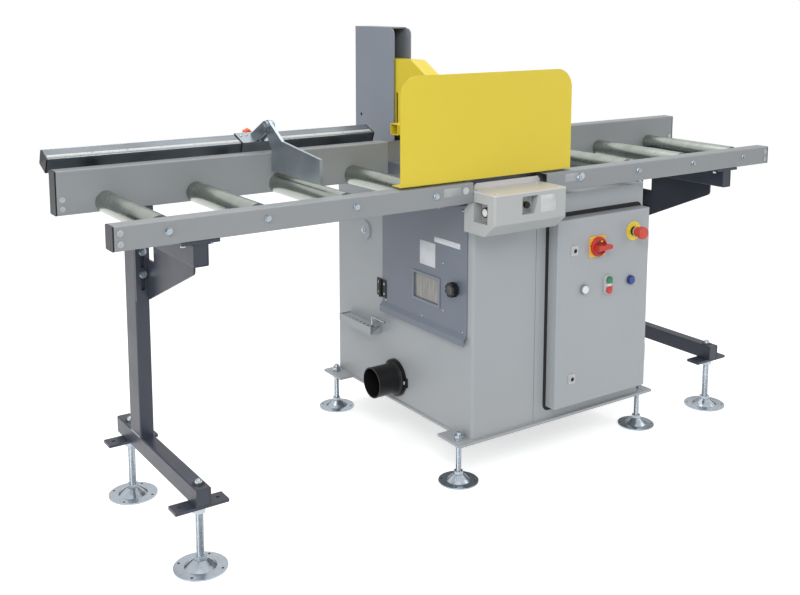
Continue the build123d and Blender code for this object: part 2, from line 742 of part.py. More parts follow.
belt_start = pulley_x + 1.5 + belt_gap
belt_width = pulley_width - 2 * (1.5 + belt_gap)
with BuildPart() as drive_belt:
    with BuildSketch(Plane.YZ.offset(belt_start)):
        with Locations(hub):
            Circle(arbor_pulley_r + belt_gap + belt_thick)
        with Locations(motor_axis):
            Circle(motor_pulley_r + belt_gap + belt_thick)
        make_hull()
        with BuildSketch(mode=Mode.PRIVATE) as inside:
            with Locations(hub):
                Circle(arbor_pulley_r + belt_gap)
            with Locations(motor_axis):
                Circle(motor_pulley_r + belt_gap)
            make_hull()
        add(inside.sketch_local, mode=Mode.SUBTRACT)
    extrude(amount=belt_width)
save(drive_belt, "drive_belt")

# Lifting cylinder, drawn along its own axis from the base pin towards the eye on the arm
stroke_base = (face_y + stroke_base_inset, stroke_base_z)
stroke_run = (stroke_eye[0] - stroke_base[0], stroke_eye[1] - stroke_base[1])
stroke_length = hypot(stroke_run[0], stroke_run[1])


def stroke_plane(along):
    """A plane square to the lifting cylinder, at a distance from its base pin."""
    share = along / stroke_length
    return Plane(origin=(lug_mid, stroke_base[0] + share * stroke_run[0], stroke_base[1] + share * stroke_run[1]),
                 x_dir=(1, 0, 0), z_dir=(0, stroke_run[0], stroke_run[1]))


def stroke_disc(radius, start, end, mode=Mode.ADD):
    """A round length of the lifting cylinder."""
    with BuildSketch(stroke_plane(start)) as section:
        Circle(radius)
    extrude(section.sketch, amount=end - start, mode=mode)


gland = 15.0
eye_half = lug_gap - 0.5
fork_thick = 6.0
fork_half = arm_thick / 2 + 1
with BuildPart() as stroke_cylinder:
    bar("X", stroke_base, 16, (lug_mid - eye_half, lug_mid + eye_half))
    with BuildSketch(stroke_plane(0)):
        Rectangle(2 * eye_half, 32)
    extrude(amount=24)
    stroke_disc(stroke_barrel_r + 4, 22, 40)
    stroke_disc(stroke_barrel_r, 40, stroke_barrel_length - gland)
    stroke_disc(stroke_barrel_r + 4, stroke_barrel_length - gland, stroke_barrel_length)
    stroke_disc(stroke_barrel_r - 5, 44, stroke_barrel_length - gland, Mode.SUBTRACT)
    stroke_disc(stroke_rod_r + running_gap, 44, stroke_barrel_length + 1, Mode.SUBTRACT)
    bar("X", stroke_base, stroke_pin_r + running_gap, (lug_mid - 30, lug_mid + 30), Mode.SUBTRACT)
save(stroke_cylinder, "stroke_cylinder")

crown_start = stroke_length - fork_reach
with BuildPart() as stroke_rod:
    stroke_disc(stroke_barrel_r - 5 - running_gap, 275, 290)
    stroke_disc(stroke_rod_r, 290, crown_start)
    with BuildSketch(stroke_plane(crown_start)):
        Rectangle(2 * (fork_half + fork_thick), 28)
    extrude(amount=crown_thick)
    for side in (-1, 1):
        with BuildSketch(stroke_plane(crown_start + crown_thick)):
            with Locations((side * (fork_half + fork_thick / 2), 0)):
                Rectangle(fork_thick, 28)
        extrude(amount=fork_reach - crown_thick)
        near = lug_mid + side * fork_half
        far = lug_mid + side * (fork_half + fork_thick)
        bar("X", stroke_eye, 14, (min(near, far), max(near, far)))
    bar("X", stroke_eye, stroke_pin_r, (lug_mid - fork_half - fork_thick - 3, lug_mid + fork_half + fork_thick + 3))
save(stroke_rod, "stroke_rod")

# Dust chute under the blade, with the port tube on the left wall
port_y = face_y + port_inset
chute_x = (cabinet_left + cabinet_sheet, 4.0)
chute_y = (port_y - port_r - 12, port_y + port_r + 12)
chute_z = (port_z - port_r - 12, port_z + port_r + 12)
hopper_x = (cabinet_left + cabinet_sheet + 4, 10.0)
hopper_y = (arbor_y - 170, port_y + 60)
hopper_top = 540.0
chute_wall = 2.0
with BuildPart() as dust_chute:
    with BuildSketch(Plane.XY.offset(chute_z[1])):
        with Locations((sum(chute_x) / 2, sum(chute_y) / 2)):
            Rectangle(chute_x[1] - chute_x[0], chute_y[1] - chute_y[0])
    with BuildSketch(Plane.XY.offset(hopper_top)):
        with Locations((sum(hopper_x) / 2, sum(hopper_y) / 2)):
            Rectangle(hopper_x[1] - hopper_x[0], hopper_y[1] - hopper_y[0])
    loft()
    block(chute_x, chute_y, chute_z)
    with BuildSketch(Plane.XY.offset(chute_z[1])):
        with Locations((sum(chute_x) / 2, sum(chute_y) / 2)):
            Rectangle(chute_x[1] - chute_x[0] - 2 * chute_wall, chute_y[1] - chute_y[0] - 2 * chute_wall)
    with BuildSketch(Plane.XY.offset(hopper_top)):
        with Locations((sum(hopper_x) / 2, sum(hopper_y) / 2)):
            Rectangle(hopper_x[1] - hopper_x[0] - 2 * chute_wall, hopper_y[1] - hopper_y[0] - 2 * chute_wall)
    loft(mode=Mode.SUBTRACT)
    block((chute_x[0] + chute_wall, chute_x[1] - chute_wall), (chute_y[0] + chute_wall, chute_y[1] - chute_wall),
          (chute_z[0] + chute_wall, chute_z[1] + 0.5), Mode.SUBTRACT)
    bar("X", (port_y, port_z), port_r - port_wall, (chute_x[0] - 1, chute_x[0] + chute_wall + 1), Mode.SUBTRACT)
save(dust_chute, "dust_chute")

with BuildPart() as dust_port:
    with BuildSketch(Plane.YZ.offset(cabinet_left)):
        with Locations((port_y, port_z)):
            Circle(port_flange_r)
            Rectangle(port_ear_pitch + 22, 30)
            Circle(port_r - port_wall, mode=Mode.SUBTRACT)
            for side in (-1, 1):
                with Locations((side * port_ear_pitch / 2, 0)):
                    Circle(3, mode=Mode.SUBTRACT)
    extrude(amount=-port_flange_thick)
    hollow_bar("X", (port_y, port_z), port_r, port_r - port_wall, (cabinet_left - port_length, cabinet_left))
save(dust_port, "dust_port")

# Column at the back that carries the guard, open to the front
column_right = column_x + column_width
with BuildPart() as guard_column:
    with BuildSketch(Plane.YZ.offset(column_x)):
        with BuildLine():
            Polyline((column_front, cabinet_top), (column_back, cabinet_top), (column_back, column_top),
                     (column_front, column_top), close=True)
        make_face()
    extrude(amount=column_width)
    block((column_x + column_sheet, column_right - column_sheet), (column_front - 1, column_back - column_sheet),
          (cabinet_top - 1, column_top + 1), Mode.SUBTRACT)
    fillet(guard_column.edges().filter_by(Axis.X).group_by(Axis.Z)[-1].group_by(Axis.Y)[0], column_round)
    block((column_x, column_right), (column_front + 28, column_back), (column_top, column_top + column_sheet))
    for x, step in ((column_x, -1), (column_right, 1)):
        block((min(x, x + step * 22), max(x, x + step * 22)), (column_front + 20, column_back),
              (cabinet_top, cabinet_top + 6))
    bar("X", (face_y + 761, 1046), 6, (column_x - 1, column_x + column_sheet + 1), Mode.SUBTRACT)
save(guard_column, "guard_column")

# Guide rods and lifting cylinder of the guard, fixed in the column
column_mid = column_x + column_width / 2
rod_ys = (face_y + 640, face_y + 765)
lift_y = face_y + 702
lift_base = 15.0
lift_top = 1060.0
with BuildPart() as lift_unit:
    for y in rod_ys:
        bar("Z", (column_mid, y), guide_rod_r, (cabinet_top, column_top))
        bar("Z", (column_mid, y), guide_rod_r + 8, (cabinet_top, cabinet_top + lift_base))
    block((column_mid - 24, column_mid + 24), (lift_y - 24, lift_y + 24), (cabinet_top, cabinet_top + lift_base))
    hollow_bar("Z", (column_mid, lift_y), lift_barrel_r, lift_barrel_r - 4, (cabinet_top + lift_base, lift_top))
    block((column_mid - 22, column_mid + 22), (lift_y - 22, lift_y + 22), (lift_top, lift_top + 15))
    bar("Z", (column_mid, lift_y), lift_rod_r + running_gap, (lift_top - 1, lift_top + 16), Mode.SUBTRACT)
save(lift_unit, "lift_unit")

# Guard: front panel, hood over the blade with the two pressure beams, and the guide block
guard_y = face_y + guard_inset
with BuildPart() as guard_panel:
    with BuildSketch(Plane.XZ.offset(-guard_y)):
        with BuildLine():
            Polyline((guard_left, guard_bottom), (guard_left, guard_top), (guard_left + guard_width, guard_top),
                     (guard_left + guard_width, guard_bottom), close=True)
        make_face()
    extrude(amount=-guard_sheet)
    fillet(guard_panel.edges().filter_by(Axis.Y).group_by(Axis.Z)[-1], guard_corner)
    block((guard_left, guard_left + guard_width), (guard_y, guard_y + guard_flange),
          (guard_bottom, guard_bottom + guard_sheet))
save(guard_panel, "guard_panel")

hood_y = guard_y + guard_sheet
hood_line = [(hood_y, hood_bottom), (hood_y, guard_top - 161), (face_y + 200, guard_top - 140),
             (face_y + hood_knee_inset, hood_top), (face_y + hood_back_inset, hood_top),
             (face_y + hood_back_inset, hood_bottom)]
hood_x = (column_mid - hood_half_width, column_mid + hood_half_width)
clamp_y = face_y + 385
with BuildPart() as blade_hood:
    with BuildSketch(Plane.YZ.offset(hood_x[0])):
        with BuildLine():
            Polyline(hood_line, close=True)
        make_face()
    extrude(amount=2 * hood_half_width)
    with BuildSketch(Plane.YZ.offset(hood_x[0] + hood_sheet)):
        with BuildLine():
            Polyline([(hood_y + hood_sheet, hood_bottom - 1), (hood_y + hood_sheet, hood_line[1][1] - hood_sheet),
                      (face_y + 200, hood_line[2][1] - hood_sheet), (face_y + hood_knee_inset, hood_top - hood_sheet),
                      (face_y + hood_back_inset + 1, hood_top - hood_sheet),
                      (face_y + hood_back_inset + 1, hood_bottom - 1)], close=True)
        make_face()
    extrude(amount=2 * (hood_half_width - hood_sheet), mode=Mode.SUBTRACT)
    with BuildSketch(Plane.YZ.offset(hood_x[0] - 1)):
        with Locations((face_y + hood_slot_inset, hood_slot_z)):
            SlotOverall(hood_slot_length, hood_slot_width, rotation=90)
    extrude(amount=hood_sheet + 2, mode=Mode.SUBTRACT)
    for start, end in ((-clamp_reach, hood_x[0]), (hood_x[1], clamp_reach)):
        with BuildSketch(Plane.YZ.offset(start)):
            with Locations((clamp_y + clamp_width / 2, hood_bottom + clamp_height / 2)):
                RectangleRounded(clamp_width, clamp_height, 3)
                Rectangle(clamp_width - 2 * hood_sheet, clamp_height - 2 * hood_sheet, mode=Mode.SUBTRACT)
        extrude(amount=end - start)
save(blade_hood, "blade_hood")

block_x = (hood_x[0] + hood_sheet, hood_x[1] - hood_sheet)
block_low = 1145.0
with BuildPart() as guide_block:
    block(block_x, (face_y + 610, face_y + 785), (block_low, block_low + guide_block_height))
    for y in rod_ys:
        bar("Z", (column_mid, y), guide_rod_r + running_gap, (block_low - 1, block_low + guide_block_height + 1),
            Mode.SUBTRACT)
    bar("Z", (column_mid, lift_y), lift_rod_r, (880, block_low))
    bar("Z", (column_mid, lift_y), lift_barrel_r - 4 - running_gap, (880, 895))
save(guide_block, "guide_block")

# Measuring rail above the left fence, on three brackets
tilt = radians(scale_tilt)
scale_edge = (face_y + scale_edge_inset, scale_edge_z)


def scale_point(along, up):
    """A point of the tilted profile: along its top from the front edge, and up from its top."""
    return (scale_edge[0] + along * cos(tilt) - up * sin(tilt), scale_edge[1] + along * sin(tilt) + up * cos(tilt))


scale_mid = scale_point(scale_width / 2, -scale_height / 2)
fence_back = fence_y + rail_depth
bracket_width = 30.0
with BuildPart() as measuring_rail:
    with BuildSketch(Plane.YZ.offset(scale_left)):
        with Locations(scale_mid):
            Rectangle(scale_width, scale_height, rotation=scale_tilt)
            Rectangle(scale_width - 6, scale_height - 6, rotation=scale_tilt, mode=Mode.SUBTRACT)
        with Locations(scale_point(16, 0)):
            Rectangle(14, 1.2, rotation=scale_tilt, mode=Mode.SUBTRACT)
    extrude(amount=scale_right - scale_left)
    for x in [scale_left + scale_bracket_inset + n * scale_bracket_pitch for n in range(3)]:
        with BuildSketch(Plane.YZ.offset(x - bracket_width / 2)):
            with BuildLine():
                Polyline((fence_back, back_rail_top - 90), (fence_back, back_rail_top - 20),
                         scale_point(0, -scale_height), scale_point(scale_width, -scale_height), close=True)
            make_face()
        extrude(amount=bracket_width)
save(measuring_rail, "measuring_rail")

# Length stop: a sleeve on the measuring rail, a plate that hinges on it, and a clamping knob
hinge_point = (face_y + stop_pivot_inset, stop_pivot_z)
sleeve_reach = 36.0
outside = slide_gap + carriage_sheet
with BuildPart() as stop_carriage:
    with BuildSketch(Plane.YZ.offset(carriage_left)):
        with BuildLine():
            Polyline(scale_point(-outside, -sleeve_reach), scale_point(-outside, outside),
                     scale_point(scale_width + outside, outside), scale_point(scale_width + outside, -sleeve_reach),
                     scale_point(scale_width + slide_gap, -sleeve_reach), scale_point(scale_width + slide_gap, slide_gap),
                     scale_point(-slide_gap, slide_gap), scale_point(-slide_gap, -sleeve_reach), close=True)
        make_face()
    extrude(amount=carriage_length)
    for x in (stop_x - 0.5 - 8, stop_x + stop_thick + 0.5):
        with BuildSketch(Plane.YZ.offset(x)):
            with BuildLine():
                Polyline(scale_point(4, slide_gap + 1), scale_point(48, slide_gap + 1),
                         (hinge_point[0] + 8, hinge_point[1] + 16), (hinge_point[0] - 12, hinge_point[1] - 14),
                         close=True)
            make_face()
            with Locations(hinge_point):
                Circle(18)
        extrude(amount=8)
    bar("X", hinge_point, 8, (stop_x - 8.5, stop_x + stop_thick + 8.5))
    hexagon("X", hinge_point, 24, (stop_x - 16, stop_x - 8.5))
    knob_axis = Plane(origin=(carriage_left + 50, *scale_point(scale_width + slide_gap - 1, -9)), x_dir=(1, 0, 0),
                      z_dir=(0, cos(tilt), sin(tilt)))
    with BuildSketch(knob_axis):
        Circle(4 + running_gap)
    extrude(amount=carriage_sheet + 2, mode=Mode.SUBTRACT)
save(stop_carriage, "stop_carriage")

with BuildPart() as stop_plate:
    with BuildSketch(Plane.YZ.offset(stop_x)):
        with BuildLine():
            Polyline((hinge_point[0] - 8, hinge_point[1] + 18), (face_y + 365, 1034), (face_y + stop_reach, stop_high),
                     (face_y + stop_reach, stop_low), (face_y + 430, stop_low), (face_y + 430, back_rail_top + 12),
                     (hinge_point[0] + 12, hinge_point[1] - 14), close=True)
        make_face()
        with Locations(hinge_point):
            Circle(20)
            Circle(8 + running_gap, mode=Mode.SUBTRACT)
    extrude(amount=stop_thick)
save(stop_plate, "stop_plate")

knob_plane = Plane(origin=(carriage_left + 50, *scale_point(scale_width + 0.1, -9)), x_dir=(1, 0, 0),
                   z_dir=(0, cos(tilt), sin(tilt)))
with BuildPart() as stop_knob:
    with BuildSketch(knob_plane):
        Circle(4)
    extrude(amount=14)
    with BuildSketch(knob_plane.offset(12)):
        Circle(14)
        with PolarLocations(14, 6):
            Circle(3, mode=Mode.SUBTRACT)
    extrude(amount=14)
save(stop_knob, "stop_knob")

# Service door with its window, hinges and latch
door_y = (face_y + door_front_inset, face_y + door_back_inset)
door_x = (cabinet_left - door_sheet, cabinet_left)
lip_out = 12.0
lip_top = door_low + door_lip - door_ramp
door_hinge = (cabinet_left - hinge_r - 1, face_y + door_back_inset + hinge_r)
hinge_spans = ((462, 521), (755, 814))
window_y = face_y + window_inset
with BuildPart() as service_door:
    block(door_x, door_y, (door_low + door_lip, door_top))
    with BuildSketch(Plane.XZ.offset(-door_y[0])):
        with BuildLine():
            Polyline((door_x[1], door_low + door_lip), (door_x[0], door_low + door_lip),
                     (door_x[0] - lip_out, lip_top), (door_x[0] - lip_out, door_low),
                     (door_x[1] - lip_out, door_low), (door_x[1] - lip_out, lip_top), close=True)
        make_face()
    extrude(amount=-(door_y[1] - door_y[0]))
    with BuildSketch(Plane.YZ.offset(door_x[0] - 2)):
        with Locations((window_y, window_z)):
            RectangleRounded(window_width + 16, window_height + 16, 5)
    extrude(amount=2)
    block((door_x[0] - 3, door_x[1] + 1), (window_y - window_width / 2, window_y + window_width / 2),
          (window_z - window_height / 2, window_z + window_height / 2), Mode.SUBTRACT)
    bar("X", (face_y + knob_inset, knob_z), 5 + running_gap, (door_x[0] - 1, door_x[1] + 1), Mode.SUBTRACT)
    for low, high in hinge_spans:
        block((door_x[0] - 3, door_x[0]), (door_y[1] - 24, door_y[1] + 1), (low, high))
        third = (high - low) / 3
        bar("Z", door_hinge, hinge_r, (low, high))
        bar("Z", door_hinge, hinge_r + 1.5, (low + third, high - third), Mode.SUBTRACT)
        bar("Z", door_hinge, 2.5, (low, high))
save(service_door, "service_door")

with BuildPart() as door_window:
    block((cabinet_left, cabinet_left + 2), (window_y - window_width / 2 - 7, window_y + window_width / 2 + 7),
          (window_z - window_height / 2 - 7, window_z + window_height / 2 + 7))
save(door_window, "door_window")

with BuildPart() as door_knob:
    centre = (face_y + knob_inset, knob_z)
    with BuildSketch(line_plane("X", centre, door_x[0] - 25)):
        Circle(knob_r)
        with PolarLocations(knob_r + 2, 8):
            Circle(5, mode=Mode.SUBTRACT)
    extrude(amount=18)
    bar("X", centre, 13, (door_x[0] - 7, door_x[0]))
    bar("X", centre, 5, (door_x[0], cabinet_left + 7))
    block((cabinet_left + 3.5, cabinet_left + 6.5), (centre[0] - 8, centre[0] + 8), (centre[1] - 8, centre[1] + 45))
save(door_knob, "door_knob")

# Tool holder on the left wall with its hexagon key
holder_y = (face_y + 533, face_y + 733)
with BuildPart() as tool_holder:
    block((cabinet_left - 46, cabinet_left), holder_y, (334, 337))
    block((cabinet_left - 46, cabinet_left - 43), holder_y, (337, 360))
    block((cabinet_left - 3, cabinet_left), holder_y, (337, 372))
    for y in (holder_y[0], holder_y[1] - 3):
        block((cabinet_left - 46, cabinet_left), (y, y + 3), (337, 360))
    hexagon("Z", (cabinet_left - 30, holder_y[0] + 14), 8, (337, 394))
    hexagon("Y", (cabinet_left - 30, 390), 8, (holder_y[0] - 62, holder_y[0] + 14))
save(tool_holder, "tool_holder")

# Electrical enclosure on two feet inside the cut-out
box_back = box_front + box_depth
box_x = (box_left, box_right)
lip = 15.0
lid_knuckle_r = 4.4
with BuildPart() as enclosure_box:
    block(box_x, (box_front, box_back), (box_low, box_top))
    block((box_left + box_sheet, box_right - box_sheet), (box_front + box_sheet, box_back - box_sheet),
          (box_low + box_sheet, box_top - box_sheet), Mode.SUBTRACT)
    block((box_left + lip, box_right - lip), (box_front - 1, box_front + box_sheet + 1),
          (box_low + lip, box_top - lip), Mode.SUBTRACT)
    block((box_left + 25, box_right - 25), (box_back - box_sheet - 8, box_back - box_sheet - 5.5),
          (box_low + 25, box_top - 25))
    for x in (box_left + 60, box_right - 60):
        for z in (box_low + 60, box_top - 60):
            bar("Y", (x, z), 6, (box_back - box_sheet - 6, box_back - 1))
    for x in (box_left + 50, box_right - 80):
        block((x, x + 30), (box_front + 40, box_back - 20), (base_top, box_low))
    for low, high in ((box_low + 80, box_low + 140), (box_top - 140, box_top - 80)):
        block((box_right, box_right + 2), (box_front + 1, box_front + 17), (low, high))
        third = (high - low) / 3
        bar("Z", (box_right + 5, box_front), lid_knuckle_r + 0.4, (low, low + third + 0.3), Mode.SUBTRACT)
        bar("Z", (box_right + 5, box_front), lid_knuckle_r + 0.4, (high - third - 0.3, high), Mode.SUBTRACT)
        bar("Z", (box_right + 5, box_front), lid_knuckle_r, (low + third + 0.3, high - third - 0.3))
        bar("Z", (box_right + 5, box_front), 2.55, (low, high), Mode.SUBTRACT)
save(enclosure_box, "enclosure_box")

with BuildPart() as enclosure_door:
    block(box_x, (lid_face, lid_back), (box_low, box_top))
    fillet(enclosure_door.edges().filter_by(Axis.Z).group_by(Axis.Y)[0], 3)
    block((box_left + box_sheet, box_right - box_sheet), (lid_face + box_sheet, lid_back + 1),
          (box_low + box_sheet, box_top - box_sheet), Mode.SUBTRACT)
    for low, high in ((box_low + 80, box_low + 140), (box_top - 140, box_top - 80)):
        block((box_right, box_right + 2), (box_front - 16, box_front - 1), (low, high))
        third = (high - low) / 3
        bar("Z", (box_right + 5, box_front), lid_knuckle_r + 0.4, (low + third, high - third), Mode.SUBTRACT)
        bar("Z", (box_right + 5, box_front), lid_knuckle_r, (low, low + third))
        bar("Z", (box_right + 5, box_front), lid_knuckle_r, (high - third, high))
        bar("Z", (box_right + 5, box_front), 2.5, (low, high))
    for z in (box_top - lock_inset, box_low + lock_inset - 13):
        bar("Y", (lock_x, z), lock_r + running_gap, (lid_face - 1, lid_face + box_sheet + 1), Mode.SUBTRACT)
    bar("Y", (switch_x, switch_z), 6 + running_gap, (lid_face - 1, lid_face + box_sheet + 1), Mode.SUBTRACT)
    bar("Y", (estop_x, estop_z), 14 + running_gap, (lid_face - 1, lid_face + box_sheet + 1), Mode.SUBTRACT)
    for x, z in ((first_button_x, button_z), (first_button_x + button_pitch, button_z + double_offset),
                 (first_button_x + button_pitch, button_z - double_offset),
                 (first_button_x + 2 * button_pitch, button_z)):
        bar("Y", (x, z), button_r + running_gap, (lid_face - 1, lid_face + box_sheet + 1), Mode.SUBTRACT)
save(enclosure_door, "enclosure_door")

lock_zs = (box_top - lock_inset, box_low + lock_inset - 13)
lock_face = lid_face - escutcheon_thick - 1
for name, z in zip(("upper", "lower"), lock_zs):
    with BuildPart() as cam_lock:
        bar("Y", (lock_x, z), lock_r, (lock_face, box_front + 8))
        block((lock_x - 8, lock_x + 8), (box_front + 3, box_front + 6), (z - 10, z + 62))
        with BuildSketch(line_plane("Y", (lock_x, z), lock_face)):
            SlotOverall(14, 3)
        extrude(amount=2, mode=Mode.SUBTRACT)
    save(cam_lock, "cam_lock_" + name)

# What is fixed on the enclosure door: switch plate, emergency stop disc, bezels and contact blocks
double_x = first_button_x + button_pitch
with BuildPart() as door_fittings:
    block((switch_x - switch_plate / 2, switch_x + switch_plate / 2), (lid_face - 4, lid_face),
          (switch_z - switch_plate / 2, switch_z + switch_plate / 2))
    bar("Y", (switch_x, switch_z), 6 + running_gap, (lid_face - 5, lid_face + 1), Mode.SUBTRACT)
    block((switch_x - 24, switch_x + 24), (lid_face + box_sheet, lid_face + 60), (switch_z - 24, switch_z + 24))
    bar("Y", (switch_x, switch_z), 6 + running_gap, (lid_face, lid_face + 24), Mode.SUBTRACT)
    hollow_bar("Y", (estop_x, estop_z), estop_disc_r, 10 + running_gap, (lid_face - 2, lid_face))
    hollow_bar("Y", (estop_x, estop_z), estop_collar_r, 10 + running_gap, (lid_face - 11, lid_face - 2))
    hollow_bar("Y", (estop_x, estop_z), 14, 10 + running_gap, (lid_face, lid_face + 12))
    block((estop_x - 15, estop_x + 15), (lid_face + 12, lid_face + 52), (estop_z - 20, estop_z + 20))
    for x in (first_button_x, first_button_x + 2 * button_pitch):
        hollow_bar("Y", (x, button_z), bezel_r, cap_r + running_gap, (lid_face - bezel_height, lid_face))
        block((x - 15, x + 15), (lid_face + 14, lid_face + 52), (button_z - 20, button_z + 20))
        hollow_bar("Y", (x, button_z), 14, button_r + running_gap, (lid_face + box_sheet, lid_face + 14))
    with BuildSketch(Plane.XZ.offset(-(lid_face - bezel_height))):
        with Locations((double_x, button_z)):
            SlotOverall(2 * (bezel_r + double_offset), 2 * bezel_r, rotation=90)
            for side in (-1, 1):
                with Locations((0, side * double_offset)):
                    Circle(button_r + running_gap, mode=Mode.SUBTRACT)
    extrude(amount=-bezel_height)
    block((double_x - lens_width / 2, double_x + lens_width / 2),
          (lid_face - bezel_height - lens_out, lid_face - bezel_height),
          (button_z - lens_height / 2, button_z + lens_height / 2))
    block((double_x - 15, double_x + 15), (lid_face + 14, lid_face + 52), (button_z - 33, button_z + 33))
    for side in (-1, 1):
        hollow_bar("Y", (double_x, button_z + side * double_offset), 13, button_r + running_gap,
                   (lid_face + box_sheet, lid_face + 14))
    # Escutcheons of the two cam locks
    for z in lock_zs:
        block((lock_x - escutcheon_width / 2, lock_x + escutcheon_width / 2), (lid_face - escutcheon_thick, lid_face),
              (z - escutcheon_height / 2, z + escutcheon_height / 2))
        bar("Y", (lock_x, z), lock_r + running_gap, (lid_face - escutcheon_thick - 1, lid_face + 1), Mode.SUBTRACT)
save(door_fittings, "door_fittings")

for name, x, z, head_r in (("white", first_button_x, button_z, cap_r),
                           ("green", double_x, button_z + double_offset, button_r),
                           ("red", double_x, button_z - double_offset, button_r),
                           ("blue", first_button_x + 2 * button_pitch, button_z, cap_r)):
    with BuildPart() as button:
        bar("Y", (x, z), head_r, (lid_face - bezel_height - 4, lid_face - bezel_height + cap_grip))
        bar("Y", (x, z), button_r, (lid_face - bezel_height + cap_grip, lid_face + 8))
        chamfer(button.edges().group_by(Axis.Y)[0], 1)
    save(button, "button_" + name)

with BuildPart() as estop_button:
    centre = (estop_x, estop_z)
    bar("Y", centre, 10, (lid_face - 17, lid_face + 5))
    bar("Y", centre, estop_neck_r, (lid_face - estop_out + 17, lid_face - 17))
    bar("Y", centre, estop_head_r, (lid_face - estop_out, lid_face - estop_out + 17))
    fillet(estop_button.edges().group_by(Axis.Y)[0], 6)
save(estop_button, "estop_button")

with BuildPart() as main_switch_handle:
    bar("Y", (switch_x, switch_z), 28, (lid_face - 13, lid_face - 4))
    hollow_bar("Y", (switch_x, switch_z), 28, 24, (lid_face - 16, lid_face - 13))
    with BuildSketch(Plane.XZ.offset(-(lid_face - 35))):
        with BuildLine():
            Polyline((switch_x - 24, switch_z - 9), (switch_x + 35, switch_z - 6), (switch_x + 35, switch_z + 6),
                     (switch_x - 24, switch_z + 9), close=True)
        make_face()
    extrude(amount=-22)
    bar("Y", (switch_x, switch_z), 6, (lid_face - 4, lid_face + 22))
save(main_switch_handle, "main_switch_handle")

# Two-hand console: folded housing with a pocket for a palm button in each end
console_x = (-138.0, 132.0)
console_back = cabinet_front
console_front = face_y - console_reach
console_line = [(console_front, console_top), (console_front, console_nose), (face_y - 50, console_low),
                (console_back, console_low), (console_back, 840), (face_y + 27, 858), (face_y + 27, console_top)]
pocket_y = (face_y - 62, face_y)
pocket_z = (813, 871)
recess_x = (-38, 22)
recess_z = (837, 889)
recess_slant = 15.0
recess_depth = 24.0
console_round = 8.0
with BuildPart() as console_housing:
    with BuildSketch(Plane.YZ.offset(console_x[0])):
        with BuildLine():
            Polyline(console_line, close=True)
        make_face()
    extrude(amount=console_x[1] - console_x[0])
    fillet(console_housing.edges().filter_by(Axis.Z).group_by(Axis.Y)[0], console_round)
    with BuildSketch(Plane.YZ.offset(console_x[0] + console_wall)):
        with BuildLine():
            Polyline(console_line, close=True)
        make_face()
        offset(amount=-console_wall)
    extrude(amount=console_x[1] - console_x[0] - 2 * console_wall, mode=Mode.SUBTRACT)
    for side, face in ((-1, console_x[0]), (1, console_x[1])):
        bottom = face - side * (pocket_depth + console_wall)
        near, far = sorted((bottom, face))
        block((near, far), (pocket_y[0] - 4, pocket_y[1] + 4), (pocket_z[0] - 4, pocket_z[1] + 4))
        near, far = sorted((face - side * pocket_depth, face + side))
        block((near, far), pocket_y, pocket_z, Mode.SUBTRACT)
        near, far = sorted((bottom - side, face))
        bar("X", (face_y - palm_inset, palm_z), 8 + running_gap, (near, far), Mode.SUBTRACT)
    block((recess_x[0] - 4, recess_x[1] + 4), (console_front, console_front + recess_depth + 4),
          (recess_z[0] - 4, recess_z[1] + 4))
    with BuildSketch(Plane.XZ.offset(-(console_front - 1))):
        with BuildLine():
            Polyline((recess_x[0], recess_z[0]), (recess_x[1] - recess_slant, recess_z[0]),
                     (recess_x[1], recess_z[1]), (recess_x[0], recess_z[1]), close=True)
        make_face()
    extrude(amount=-(recess_depth + 1), mode=Mode.SUBTRACT)
    bar("Y", (regulator_x, regulator_z), 5 + running_gap, (console_front, console_front + recess_depth + 6),
        Mode.SUBTRACT)
save(console_housing, "console_housing")

with BuildPart() as console_cover:
    block(console_x, (console_front, face_y + 27), (console_top, console_top + console_lid))
    fillet(console_cover.edges().filter_by(Axis.Z).group_by(Axis.Y)[0], console_round)
    with BuildSketch(Plane.XZ.offset(-(face_y + 27 - console_lid))):
        with BuildLine():
            Polyline((console_x[0] + 20, console_top), (console_x[1] - 1, console_top),
                     (console_x[1] - 1, console_top + upstand_height - 8),
                     (console_x[1] - 9, console_top + upstand_height),
                     (console_x[0] + 28, console_top + upstand_height),
                     (console_x[0] + 20, console_top + upstand_height - 8), close=True)
        make_face()
    extrude(amount=-console_lid)
save(console_cover, "console_cover")

for name, side, face in (("left", -1, console_x[0]), ("right", 1, console_x[1])):
    with BuildPart() as palm_button:
        floor_x = face - side * pocket_depth
        near, far = sorted((floor_x + side * 5, floor_x + side * 15))
        bar("X", (face_y - palm_inset, palm_z), palm_r, (near, far))
        near, far = sorted((floor_x - side * 8, floor_x + side * 5))
        bar("X", (face_y - palm_inset, palm_z), 8, (near, far))
    save(palm_button, "palm_button_" + name)

with BuildPart() as regulator_knob:
    recess_floor = console_front + recess_depth
    bar("Y", (regulator_x, regulator_z), 5, (recess_floor, recess_floor + 8))
    bar("Y", (regulator_x, regulator_z), 9, (recess_floor - 18, recess_floor))
save(regulator_knob, "regulator_knob")

